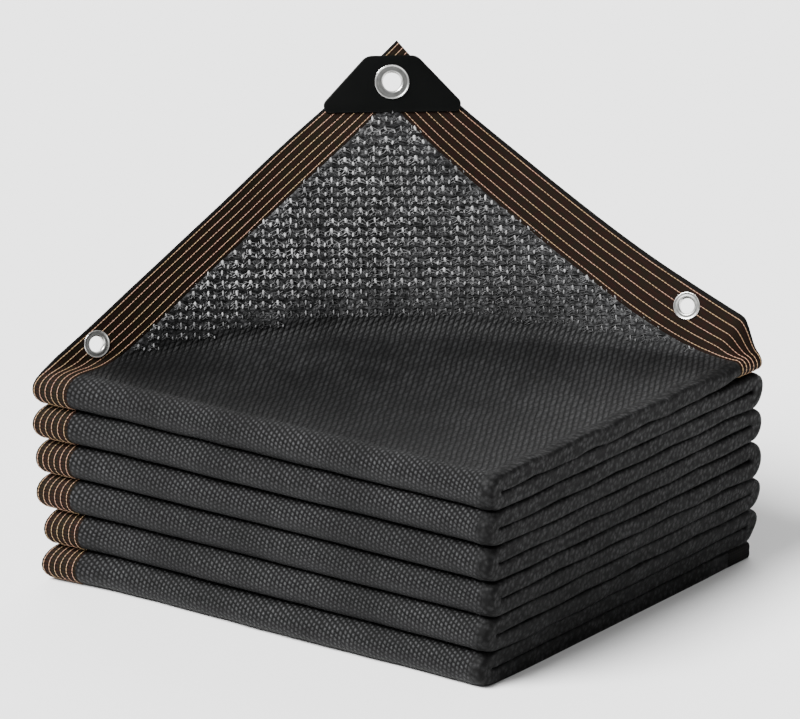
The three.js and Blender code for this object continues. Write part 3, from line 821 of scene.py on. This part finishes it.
# %% [markdown]
# ## Knit finish
# Shade cloth is knitted from black plastic tape and thread. From a hand's breadth away it reads as
# rows of small beads with dark holes between them, set off by half a step from row to row. The knit
# map counts those rows, so one formula gives beads, holes and their height. On the right face, where
# the layers turn, and behind the loops the knit looks cobbled, which a cell pattern gives. Each bead
# gets its own brightness by chance, and slow noises fade the pattern in and out.

# %% Patterns of the knit
def beads(finish, map_name, wander, pit, power):
    wale, course, _ = finish.flat_map(map_name)
    wale = wale + wander * 0.5
    column = wale.floor()
    u = wale.fract() - 0.5
    shifted = course + column * 0.5 - u * 0.35 + wander
    luck = finish.chance(finish.join(column, shifted.floor()))
    v = shifted.fract() - 0.5
    bead = (1.0 - (u * 2.0) ** 2.0) * (1.0 - pit * (v * 2.0) ** 2.0)
    return bead.most(0.0) ** power, luck


def cobbles(finish, spot, scale):
    distance = finish.node("ShaderNodeTexVoronoi", {"feature": "F1"}, {"Vector": spot, "Scale": scale})
    return (1.0 - distance * 1.45).most(0.0)


# %% Knit finish
KNIT_DARK, KNIT_LIGHT = (0.001, 0.00102, 0.00104), (0.066, 0.0665, 0.068)
TOP_DEPTH, SIDE_DEPTH = (0.62, 1.1), (1.0, 2.1)
EDGE_COBBLES, LOOP_COBBLES, KNIT_HEIGHT = 235.0, 270.0, 0.0008


def knit_finish():
    finish = Finish("knit", Roughness=0.5, Specular_IOR_Level=0.09)
    spot = finish.spot()
    wander = (finish.noise(spot, 42.0) - 0.5) * 1.1 + (finish.noise(spot, 330.0) - 0.5) * 0.5
    top_bead, top_luck = beads(finish, "top_knit", wander, *TOP_DEPTH)
    side_bead, side_luck = beads(finish, "side_knit", wander, *SIDE_DEPTH)
    on_top, edge = finish.attribute("on_top"), finish.attribute("edge")
    standing = finish.attribute("raised").ease(0.0, 9.0)
    bead = side_bead.toward(top_bead, on_top)
    luck = side_luck.toward(top_luck, on_top)
    bead = bead.toward(cobbles(finish, spot, EDGE_COBBLES) * 0.75, edge)
    bead = bead.toward(cobbles(finish, spot, LOOP_COBBLES) * 0.85, standing)
    crisp = finish.attribute("crisp").toward(0.8, (on_top + edge).least(1.0))
    patch = finish.noise(spot, 16.0).ease(0.3, 0.7)
    fibre = finish.noise(spot, 900.0, 3.0).ease(0.3, 0.7)
    grain = finish.noise(spot, 420.0).ease(0.3, 0.7)
    high = bead * (0.5 + 0.6 * luck + 0.4 * grain)
    bright = high * crisp + 0.3 * (1.0 - crisp)
    blotch = finish.noise(spot, 30.0).ease(0.4, 0.62)
    across, away, _ = finish.split(spot)
    # Painted light: the standing corner is painted brighter below, most towards its left, as a painted pool
    # of light.
    lit = 1.1 - 0.5 * (across + away * 0.7).ease(-0.16, 0.1)
    # The top darkens towards the front.
    front = 1.0 - 0.42 * (0.0 - away).ease(0.02, 0.15) * on_top
    # Painted shade: the top is painted darker than the sides, and the right face, where the layers turn,
    # darker still, deeper in slow blotches.
    shade = (0.58 - 0.3 * on_top * (1.0 - standing)) * (1.0 - (0.42 + 0.3 * blotch) * edge)
    shade = shade * (1.0 + 1.75 * standing * lit) * front
    bright = bright * (0.72 + 0.45 * patch) * (0.72 + 0.45 * fibre) * shade
    finish.wire("Base Color", finish.mix(bright.least(1.0), KNIT_DARK, KNIT_LIGHT))
    finish.wire("Roughness", 0.7 - bead * 0.25)
    finish.bump(high * (0.35 + 0.65 * crisp) + fibre * 0.1, KNIT_HEIGHT)
    return finish.material


knit = knit_finish()

# %% [markdown]
# ## Tape finish
# The tape is a close woven band, brown black with a faint green and red cast from its mixed yarns.
# Fine ribs run across it, and its outer margin is plain black. Three copies of it serve the side,
# the top end, painted darker as shade on the right leg of the standing corner, and the dark hem.

# %% Tape finish
TAPE_BLACK, RIB_PITCH, LANE_PITCH = (0.003, 0.0028, 0.0026), 0.0013, 0.0026


def tape_finish(name, green, red):
    finish = Finish(name, Roughness=0.75, Specular_IOR_Level=0.05)
    inset, along, _ = finish.flat_map("flat")
    ribs = ((along * (2 * math.pi / RIB_PITCH)).sin() * 0.5 + 0.5)
    lanes = ((inset * (2 * math.pi / LANE_PITCH) + ribs * 1.4).sin() * 0.5 + 0.5)
    cloud = finish.noise(finish.join(inset * 260.0, along * 90.0), 1.0, 3.0)
    cast = finish.mix(cloud.ease(0.38, 0.62), green, red)
    inside = inset.ease(0.0019, 0.0024)
    woven = finish.mix(inside * (0.05 + 0.75 * ribs + 0.35 * lanes), TAPE_BLACK, cast)
    finish.wire("Base Color", woven)
    finish.bump(ribs * 0.6 + lanes * 0.4, 0.00025, 0.8)
    return finish.material


# %% [markdown]
# ## Plastic, metal and thread
# The plate is satin moulded plastic with a very fine grain. The eyelets are bright plated metal
# with faint grey smears from handling; the rolled rim and the throat are smoother and painted
# brightest, as a painted highlight. The loops are the cloth's own glossy tape; their brightness is
# painted highlight, different for each loop, stronger to the left as painted light, and it fades
# where the knit lies down.

# %% Plate, metal, thread and loop finishes
def plate_finish():
    finish = Finish("moulded_plastic", Base_Color=(0.0008, 0.001, 0.0009, 1), Specular_IOR_Level=0.09)
    spot = finish.spot()
    grain = finish.noise(spot, 900.0, 3.0)
    cloud = finish.noise(spot, 28.0, 2.0)
    finish.wire("Roughness", 0.34 + 0.14 * cloud)
    finish.bump(grain, 0.00006, 0.5)
    return finish.material


def metal_finish():
    finish = Finish("plated_metal", Metallic=1.0)
    cloud = finish.noise(finish.spot(), 240.0, 3.0)
    polish = finish.attribute("polish")
    # Painted highlight: the rim and the throat are painted bright, the flat darker.
    shine = (0.12 + 0.2 * cloud + 0.75 * polish).least(1.0)
    finish.wire("Base Color", finish.mix(shine, (0.06, 0.062, 0.06), (0.72, 0.72, 0.7)))
    finish.wire("Roughness", 0.3 + 0.16 * cloud - 0.12 * polish)
    finish.bump(cloud, 0.00008, 0.4)
    return finish.material


def thread_finish():
    finish = Finish("tan_thread", Roughness=0.6)
    cloud = finish.noise(finish.spot(), 60.0, 3.0).ease(0.35, 0.65)
    finish.wire("Base Color", finish.mix(cloud, (0.36, 0.24, 0.12), (0.4, 0.22, 0.15)))
    return finish.material


def loop_finish():
    finish = Finish("knit_loops", Roughness=0.4, Specular_IOR_Level=0.35)
    gleam, lot, grown = [finish.attribute(name) for name in ("gleam", "lot", "grown")]
    spot = finish.spot()
    patch = finish.noise(spot, 30.0).ease(0.3, 0.7)
    streak = finish.noise(spot, 1400.0, 2.0).ease(0.35, 0.65)
    # Painted light: the strands' brightness is painted highlight, stronger towards the left as a painted pool
    # of light; it also fades towards the foot of the corner.
    across, _, _ = finish.split(spot)
    lit = 1.2 - 0.6 * across.ease(-0.16, 0.06)
    bright = lit * gleam * (0.35 + 0.9 * lot) * (0.35 + 0.65 * grown)
    bright = bright * (0.7 + 0.5 * patch) * (0.6 + 0.6 * streak)
    finish.wire("Base Color", finish.mix(bright.least(1.0), (0.006, 0.0062, 0.0065), (0.42, 0.42, 0.425)))
    return finish.material


side_weave = tape_finish("woven_tape", (0.0115, 0.0085, 0.004), (0.0155, 0.0064, 0.004))
# The top end's copy is darker: painted shade on the right of the standing corner.
end_weave = tape_finish("end_tape", (0.0095, 0.0055, 0.0024), (0.0135, 0.0046, 0.0026))
hem_weave = tape_finish("hem_tape", (0.0085, 0.0083, 0.0082), (0.0105, 0.0095, 0.009))
moulded, plated, thread, loops = plate_finish(), metal_finish(), thread_finish(), loop_finish()
for piece, finish in [(cloth, knit), (side_tape, side_weave), (inner_tape, side_weave),
                      (top_tape, end_weave), (bottom_tape, hem_weave), (plate, moulded),
                      *[(ring, plated) for ring in eyelets]]:
    piece.data.materials.clear()
    piece.data.materials.append(finish)
print("materials", [m.name for m in bpy.data.materials])

# %% [markdown]
# ## Stitches with Geometry Nodes
# Six lines of tan thread hold the tape. Every stitch is the same short bead of thread, so Geometry
# Nodes set one on each needle hole. The holes are points that carry two directions: out of the
# tape, and along the seam.

# %% Node tree that lays stitches
def node_tree(name, sizes):
    tree = bpy.data.node_groups.new(name, "GeometryNodeTree")
    tree.interface.new_socket("Geometry", in_out="INPUT", socket_type="NodeSocketGeometry")
    for title, kind in sizes.items():
        tree.interface.new_socket(title, in_out="INPUT", socket_type="NodeSocket" + kind)
    tree.interface.new_socket("Geometry", in_out="OUTPUT", socket_type="NodeSocketGeometry")
    return tree, tree.nodes.new("NodeGroupInput"), tree.nodes.new("NodeGroupOutput")


def add(tree, kind, settings=None, sockets=None):
    made = tree.nodes.new(kind)
    for key, value in (settings or {}).items():
        setattr(made, key, value)
    for key, value in (sockets or {}).items():
        if isinstance(value, bpy.types.NodeSocket):
            tree.links.new(value, made.inputs[key])
        else:
            made.inputs[key].default_value = value
    return made


def live(sockets, name):
    return next(socket for socket in sockets if socket.enabled and socket.name == name)


def named(tree, name, kind="FLOAT_VECTOR"):
    made = add(tree, "GeometryNodeInputNamedAttribute", {"data_type": kind}, {"Name": name})
    return live(made.outputs, "Attribute")


def axes_turn(tree, out, way):
    return add(tree, "FunctionNodeAxesToRotation", {"primary_axis": "Z", "secondary_axis": "X"},
               {"Primary Axis": out, "Secondary Axis": way}).outputs[0]


def dealt(tree, kind, low, high, seed):
    """A chance value for each point, from low to high."""
    first, second, result = {"FLOAT_VECTOR": (0, 1, 0), "FLOAT": (2, 3, 1), "INT": (4, 5, 2)}[kind]
    made = add(tree, "FunctionNodeRandomValue", {"data_type": kind}, {first: low, second: high, "Seed": seed})
    return made.outputs[result]


def maths(tree, operation, first, second):
    return add(tree, "ShaderNodeMath", {"operation": operation}, {0: first, 1: second}).outputs[0]


def put_out(tree, end, geometry, material):
    coloured = add(tree, "GeometryNodeSetMaterial", None, {"Geometry": geometry, "Material": material})
    tree.links.new(coloured.outputs[0], end.inputs[0])


def stitch_tree(material):
    tree, start, end = node_tree("lay stitches", {
        "Stitch length": "Float", "Thread width": "Float", "Seed": "Int"})
    give = start.outputs
    bead = add(tree, "GeometryNodeMeshUVSphere", None, {"Segments": 6, "Rings": 4, "Radius": 0.5})
    long = maths(tree, "MULTIPLY", give["Stitch length"], dealt(tree, "FLOAT", 0.85, 1.1, give["Seed"]))
    scale = add(tree, "ShaderNodeCombineXYZ", None, {
        "X": long, "Y": give["Thread width"], "Z": give["Thread width"]})
    points = add(tree, "GeometryNodeMeshToPoints", None, {"Mesh": give["Geometry"]})
    laid = add(tree, "GeometryNodeInstanceOnPoints", None, {
        "Points": points.outputs[0], "Instance": bead.outputs["Mesh"],
        "Rotation": axes_turn(tree, named(tree, "out"), named(tree, "way")), "Scale": scale.outputs[0]})
    real = add(tree, "GeometryNodeRealizeInstances", None, {"Geometry": laid.outputs[0]})
    put_out(tree, end, real.outputs[0], material)
    return tree


def grow(piece, tree, sizes):
    modifier = piece.modifiers.new("grow", "NODES")
    modifier.node_group = tree
    ids = {item.name: item.identifier for item in tree.interface.items_tree if item.in_out == "INPUT"}
    for title, value in sizes.items():
        modifier[ids[title]] = value
    graph = bpy.context.evaluated_depsgraph_get()
    mesh = bpy.data.meshes.new_from_object(piece.evaluated_get(graph), depsgraph=graph)
    piece.modifiers.clear()
    piece.data = mesh
    mesh.name = piece.name
    mesh.polygons.foreach_set("use_smooth", [True] * len(mesh.polygons))
    return piece


# %% Needle holes of the six lines on each tape
STITCH, THREAD, OVERLAP, SEAM_ROWS, NEXT_ROW, TUCK_IN = 3.2, 0.6, 1.2, 0.4, 0.3, 16
LINES = [2.9, 8.1, 13.3, 18.5, 23.7, 28.9]
# Where no stitch goes: within a radius and a depth of each eyelet.
HARDWARE = [(corner_seat, 12), (left_seat, 10.4), (right_seat, 10.4)]
HARDWARE_DEPTH = 6


def clear_of_hardware(spots):
    clear = np.ones(len(spots), bool)
    for place, radius in HARDWARE:
        local = np.array([place.inverted() @ Vector(spot) for spot in spots])
        near = np.abs(local[:, 2]) < HARDWARE_DEPTH * MM
        clear &= ~(near & (np.hypot(local[:, 0], local[:, 1]) < radius * MM))
    return clear


def needle_holes(name, edge, start, end, keep):
    fine = np.arange(start, end, SEAM_ROWS)
    points, outs, ways = [], [], []
    for face in (1, -1):
        height = face * (TAPE_HALF + 0.1)
        for line in LINES:
            path, _, _ = sheet_surface(*EDGES[edge](line, fine), height)
            steps = np.linalg.norm(np.diff(path, axis=0), axis=1)
            walked = np.concatenate([[0], np.cumsum(steps)]) / MM
            lengths = np.interp(np.arange(STITCH / 2, walked[-1], STITCH), walked, fine)
            spots, out, _ = sheet_surface(*EDGES[edge](line, lengths), height)
            further, _, _ = sheet_surface(*EDGES[edge](line, lengths + NEXT_ROW), height)
            good = keep(lengths, face) & clear_of_hardware(spots)
            points.append(spots[good])
            outs.append(face * out[good])
            ways.append((further - spots)[good])
    piece = make_mesh(name, np.concatenate(points), [])
    for title, rows in (("out", outs), ("way", ways)):
        attribute = piece.data.attributes.new(title, "FLOAT_VECTOR", "POINT")
        attribute.data.foreach_set("vector", np.concatenate(rows).astype(np.float32).ravel())
    return piece


# %% Stitches where they show, and not where the layers hide them
def seen_on_side(lengths, face):
    row = zigzag(lengths)
    near = (row.y < FRONT_Y + TUCK_IN) | ((row.y > BACK_Y - TUCK_IN) & (row.run < RUNS - 1))
    return (row.run == 0) | row.nose | near


def seen_on_top(row, face):
    return (row < PLY + WIDE_TURN) | ((row > SHEET_WIDTH - PLY) & (face < 0))


past_corner, inner_end = TAPE_WIDTH + 2, SHEET_WIDTH - TAPE_WIDTH - 2
holes = [
    needle_holes("side_tape_stitches", "side", 0, SHEET_LENGTH, seen_on_side),
    needle_holes("top_tape_stitches", "top", past_corner, SHEET_WIDTH, seen_on_top),
    needle_holes("bottom_tape_stitches", "bottom", past_corner, inner_end, lambda row, face: row < PLY - 24),
    needle_holes("inner_tape_stitches", "inner", past_corner, FIRST_RUN - 15,
                 lambda row, face: np.full(row.shape, face < 0))]
stitches = stitch_tree(thread)
threads = [grow(piece, stitches, {"Stitch length": STITCH * OVERLAP * MM, "Thread width": THREAD * MM,
                                  "Seed": 5}) for piece in holes]
print("stitch triangles", [triangles(piece) for piece in threads])

# %% [markdown]
# ## Coarse knit loops on the standing corner
# Where the corner stands up to the light the knit shows as rows of open loops. Each loop is a dark
# wavy ribbon with two thin bright ones, two short glossy standing threads and a few loose flecks,
# whose brightness is painted highlight.
# Geometry Nodes cast a grid of rays onto the sheet and set a loop where each one lands, so that the
# rows stay level across the slanting corner.

# %% One loop, in a few slightly different shapes
ROW_PITCH, LOOP_PITCH, LOOP_SHAPES, FLECKS, RIBBON_THICK = 8.2, 11.3, 8, 7, 0.5
# Ribbons: place up the row, gleam, width, rise off the cloth, bow. The first one is the dark one.
RIBBONS = [(3.7, 0.0, 1.2, 1.0, 0.7), (0.9, 0.4, 0.7, 0.6, 1.3), (-1.9, 0.34, 0.7, 0.5, 1.0)]
# Standing threads: place along and up the row, height, width, gleam.
UPRIGHTS = [(0, 1.2, 4.1, 2.9, 1.0), (LOOP_PITCH / 2, -2.0, 3.0, 2.3, 0.8)]


def strand(points, width, thick, gleam):
    points = np.array(points, float)
    way = np.gradient(points, axis=0)
    way /= np.linalg.norm(way, axis=1, keepdims=True)
    side = np.cross([0, 0, 1.0], way)
    side /= np.linalg.norm(side, axis=1, keepdims=True)
    ends = np.sin(math.pi * np.linspace(0.12, 0.88, len(points)))[:, None] ** 0.5
    corners = np.stack([points + side * a * ends * width / 2 + np.array([0, 0, b * thick])
                        for a, b in [(1, -0.5), (0, 0.5), (-1, -0.5)]], 1)
    at = np.arange(len(points) * 3).reshape(len(points), 3)
    return corners.reshape(-1, 3), ring_faces(at), np.full(at.size, gleam)


def knit_loop(index, luck):
    half = LOOP_PITCH / 2
    parts = []
    for shift, gleam, width, rise, bow in RIBBONS:
        x = np.linspace(-half, half, 5)
        y = shift + bow * np.cos(math.pi * x / half) + luck.normal(0, 0.5, 5) * (gleam > 0)
        spots = np.stack([x, y, rise + 0.3 * np.sin(x)], 1)
        parts.append(strand(spots, width, RIBBON_THICK, gleam * luck.uniform(0.7, 1.3)))
    for x, y, tall, width, gleam in UPRIGHTS:
        lean = luck.normal(0, 0.18)
        t = np.array([-0.5, 0.1, 0.5])
        spots = np.stack([x + luck.normal(0, 0.5) + lean * tall * t, y + tall * t, [0.6, 1.3, 1.1]], 1)
        parts.append(strand(spots, width * luck.uniform(0.7, 1.2), 0.8, gleam * luck.uniform(0.4, 1.3)))
    for _ in range(FLECKS):
        x, y, turn = luck.uniform(-half, half), luck.uniform(-3.2, 2.6), luck.uniform(0, math.pi)
        reach = np.array([-0.5, 0.5])[:, None] * luck.uniform(1.5, 3.0)
        spots = np.array([x, y, 0.9]) + reach * np.array([math.cos(turn), math.sin(turn), 0.1])
        parts.append(strand(spots, 0.8, RIBBON_THICK, luck.uniform(0.25, 0.9)))
    starts = np.cumsum([0] + [len(corners) for corners, _, _ in parts])
    faces = [sides + start for (_, sides, _), start in zip(parts, starts)]
    return make_mesh(f"loop_{index}", np.concatenate([corners for corners, _, _ in parts]) * MM,
                     np.concatenate(faces).tolist(), None,
                     {"gleam": np.concatenate([gleam for _, _, gleam in parts])})


loop_box = bpy.data.collections.new("loops")
bpy.context.scene.collection.children.link(loop_box)
luck = np.random.default_rng(7)
for index in range(LOOP_SHAPES):
    made = knit_loop(index, luck)
    bpy.context.scene.collection.objects.unlink(made)
    loop_box.objects.link(made)
print("one loop has", triangles(made), "triangles")


# %% Node tree that casts the rows of loops onto the cloth
CLEAR_OF_TAPE, LONGEST_RAY, SMALLEST_LOOP = (0.0006, 0.003), 1.0, 0.8


def eased(tree, value, low, high):
    return add(tree, "ShaderNodeMapRange", {"interpolation_type": "SMOOTHSTEP"},
               {"Value": value, "From Min": low, "From Max": high}).outputs[0]


def stored(tree, geometry, name, value, kind="FLOAT", domain="POINT"):
    made = add(tree, "GeometryNodeStoreNamedAttribute", {"data_type": kind, "domain": domain},
               {"Geometry": geometry, "Name": name})
    tree.links.new(value, live(made.inputs, "Value"))
    return made.outputs[0]


def shape_of(tree, piece):
    return add(tree, "GeometryNodeObjectInfo", {"transform_space": "ORIGINAL"},
               {"Object": piece}).outputs["Geometry"]


def nearest(tree, geometry):
    return add(tree, "GeometryNodeProximity", {"target_element": "FACES"}, {0: geometry}).outputs


def ray_grid(tree, give):
    """Points of a flat grid in front of the cloth, kept where their ray lands on the raised corner."""
    wide = maths(tree, "MULTIPLY", maths(tree, "SUBTRACT", give["Loops"], 1.0), give["Loop pitch"])
    high = maths(tree, "MULTIPLY", maths(tree, "SUBTRACT", give["Rows"], 1.0), give["Row pitch"])
    grid = add(tree, "GeometryNodeMeshGrid", None, {
        "Size X": wide, "Size Y": high, "Vertices X": give["Loops"], "Vertices Y": give["Rows"]})
    placed = add(tree, "GeometryNodeTransform", None, {
        "Geometry": grid.outputs["Mesh"], "Translation": give["Middle"], "Rotation": give["Turn"]})
    ray = add(tree, "GeometryNodeRaycast", {"data_type": "FLOAT", "mapping": "INTERPOLATED"}, {
        "Target Geometry": shape_of(tree, cloth), "Ray Direction": give["Ray"],
        "Ray Length": LONGEST_RAY})
    tree.links.new(named(tree, "raised", "FLOAT"), live(ray.inputs, "Attribute"))
    lifted = live(ray.outputs, "Attribute")
    kept = stored(tree, placed.outputs[0], "face_way", ray.outputs["Hit Normal"], "FLOAT_VECTOR")
    kept = stored(tree, kept, "grown", eased(tree, lifted, give["Lowest"], give["Full"]))
    high_enough = maths(tree, "GREATER_THAN", lifted, give["Lowest"])
    chosen = maths(tree, "MULTIPLY", ray.outputs["Is Hit"], high_enough)
    return add(tree, "GeometryNodeMeshToPoints", None, {
        "Mesh": kept, "Selection": chosen, "Position": ray.outputs["Hit Position"]}).outputs[0]


def loops_on_points(tree, give, points):
    """One of the loop shapes on each point, a little turned and stretched by chance."""
    shapes = add(tree, "GeometryNodeCollectionInfo", {"transform_space": "ORIGINAL"}, {
        "Collection": loop_box, "Separate Children": True, "Reset Children": True})
    size = add(tree, "ShaderNodeMapRange", None, {
        "Value": named(tree, "grown", "FLOAT"), "To Min": SMALLEST_LOOP})
    spread = dealt(tree, "FLOAT_VECTOR", (0.9, 0.85, 0.8), (1.12, 1.15, 1.2), give["Seed"])
    scale = add(tree, "ShaderNodeVectorMath", {"operation": "SCALE"}, {0: spread, 3: size.outputs[0]})
    laid = add(tree, "GeometryNodeInstanceOnPoints", None, {
        "Points": points, "Instance": shapes.outputs[0], "Pick Instance": True,
        "Instance Index": dealt(tree, "INT", 0, LOOP_SHAPES - 1, give["Seed"]),
        "Rotation": axes_turn(tree, named(tree, "face_way"), give["Row way"]),
        "Scale": scale.outputs[0]})
    lurch = dealt(tree, "FLOAT_VECTOR", (-0.05, -0.05, -0.09), (0.05, 0.05, 0.09), give["Seed"])
    turned = add(tree, "GeometryNodeRotateInstances", None, {
        "Instances": laid.outputs[0], "Rotation": lurch, "Local Space": True})
    lot = dealt(tree, "FLOAT", 0.0, 1.0, give["Seed"])
    marked = stored(tree, turned.outputs[0], "lot", lot, "FLOAT", "INSTANCE")
    return add(tree, "GeometryNodeRealizeInstances", None, {"Geometry": marked}).outputs[0]


def loop_tree(material):
    tree, start, end = node_tree("cast loops", {
        "Rows": "Int", "Loops": "Int", "Row pitch": "Float", "Loop pitch": "Float", "Middle": "Vector",
        "Turn": "Vector", "Row way": "Vector", "Ray": "Vector", "Lowest": "Float", "Full": "Float",
        "Seed": "Int"})
    real = loops_on_points(tree, start.outputs, ray_grid(tree, start.outputs))
    edges = add(tree, "GeometryNodeJoinGeometry")
    for tape in (side_tape, top_tape):
        tree.links.new(shape_of(tree, tape), edges.inputs[0])
    free = eased(tree, nearest(tree, edges.outputs[0])["Distance"], *CLEAR_OF_TAPE)
    on_cloth = nearest(tree, shape_of(tree, cloth))["Position"]
    mixed = add(tree, "ShaderNodeMix", {"data_type": "VECTOR"}, {
        0: free, 4: on_cloth, 5: add(tree, "GeometryNodeInputPosition").outputs[0]})
    tucked = add(tree, "GeometryNodeSetPosition", None, {"Geometry": real, "Position": mixed.outputs[1]})
    put_out(tree, end, tucked.outputs[0], material)
    return tree


# %% Cast the loops on the front and the back of the corner
LOOP_ROWS, LOOPS_IN_ROW, GRID_AWAY, LOWEST, FULL = 33, 55, 0.16, 1.0, 40.0
row_way = Vector((*FOLD_LINE, 0))
face_way = Vector((*(-FOLD_SIDE * math.sin(LEAN)), math.cos(LEAN)))
corner_middle = Vector((*(FOLD_LEFT + 299 * FOLD_LINE + 115 * FOLD_SIDE), 290)) * MM
casting = loop_tree(loops)


def cast_loops(name, row, face, seed):
    up = face.cross(row)
    turn = Matrix((row, up, face)).transposed().to_euler()
    holder = make_mesh(name, [(0, 0, 0)], [])
    return grow(holder, casting, {
        "Rows": LOOP_ROWS, "Loops": LOOPS_IN_ROW, "Row pitch": ROW_PITCH * MM,
        "Loop pitch": LOOP_PITCH * MM, "Middle": tuple(corner_middle + face * GRID_AWAY),
        "Turn": tuple(turn), "Row way": tuple(row), "Ray": tuple(-face), "Lowest": LOWEST,
        "Full": FULL, "Seed": seed})


front_loops = cast_loops("front_knit_loops", row_way, face_way, 3)
back_loops = cast_loops("back_knit_loops", -row_way, -face_way, 8)
for made in list(loop_box.objects):
    bpy.data.objects.remove(made)
bpy.data.collections.remove(loop_box)
print("loop triangles", triangles(front_loops), triangles(back_loops))

# %% [markdown]
# ## Floor and light
# The cloth lies on a plain pale floor. A big soft light from the front left gives the top and the
# left face the same grey and leaves the right face darker, helped by painted shade on the knit's top
# and right face. A weaker, softer one from behind lights the back, and a pale sky fills the shadows.

# %% Floor and light
floor = make_mesh("floor", [(-14, -10, 0), (14, -10, 0), (14, 30, 0), (-14, 30, 0)], [[0, 1, 2, 3]])
pale = Finish("pale_floor", Roughness=0.9, Specular_IOR_Level=0.1)
cloud = pale.noise(pale.spot(), 0.8, 1.0)
pale.wire("Base Color", pale.mix(cloud, (0.93, 0.93, 0.93), (0.95, 0.95, 0.95)))
floor.data.materials.append(pale.material)


def soft_light(name, way, spread, power):
    lamp = bpy.data.lights.new(name, "SUN")
    lamp.energy, lamp.angle = power, math.radians(spread)
    light = bpy.data.objects.new(name, lamp)
    light.location = Vector(way) * 3
    light.rotation_euler = Vector(way).to_track_quat("Z", "Y").to_euler()
    bpy.context.scene.collection.objects.link(light)


soft_light("key light", (-0.25, -0.6, 0.78), 30, 10.5)
soft_light("back light", (-0.5, 0.8, 0.4), 60, 2.6)
world = bpy.data.worlds.new("pale sky")
bpy.context.scene.world = world
world.use_nodes = True
sky = world.node_tree.nodes["Background"].inputs
sky["Color"].default_value = (1, 1, 1, 1)
sky["Strength"].default_value = 0.45
print("lights ready")

# %% [markdown]
# ## Joining the frame
# Every piece rides on the one body, and the solids that it stands for are hidden. The table names
# each piece's solids and its finish slot.

# %% Bodies and the solids they replace
REPLACED = [
    (cloth, "knit", ["top_cloth", "knitted_cloth"]),
    (side_tape, "binding", ["flap_side_binding", "stack_side_binding"]),
    (inner_tape, "binding", ["inner_side_binding"]),
    (top_tape, "binding", ["top_end_binding"]),
    (bottom_tape, "binding", ["bottom_end_binding"]),
    (plate, "plate", ["corner_plate"]),
    (eyelets[0], "metal", ["corner_eyelet"]),
    (eyelets[1], "metal", ["left_eyelet"]),
    (eyelets[2], "metal", ["right_eyelet"]),
    (front_loops, "knit", []),
    (back_loops, "knit", []),
    *[(piece, "binding", []) for piece in threads]]
for piece, slot, nodes in REPLACED:
    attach(piece, "root")
    if nodes:
        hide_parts(*nodes)
SHEET_WIDTH * MM
SHEET_LENGTH * MM
print("pieces", len(REPLACED), "triangles", sum(triangles(piece) for piece, _, _ in REPLACED))
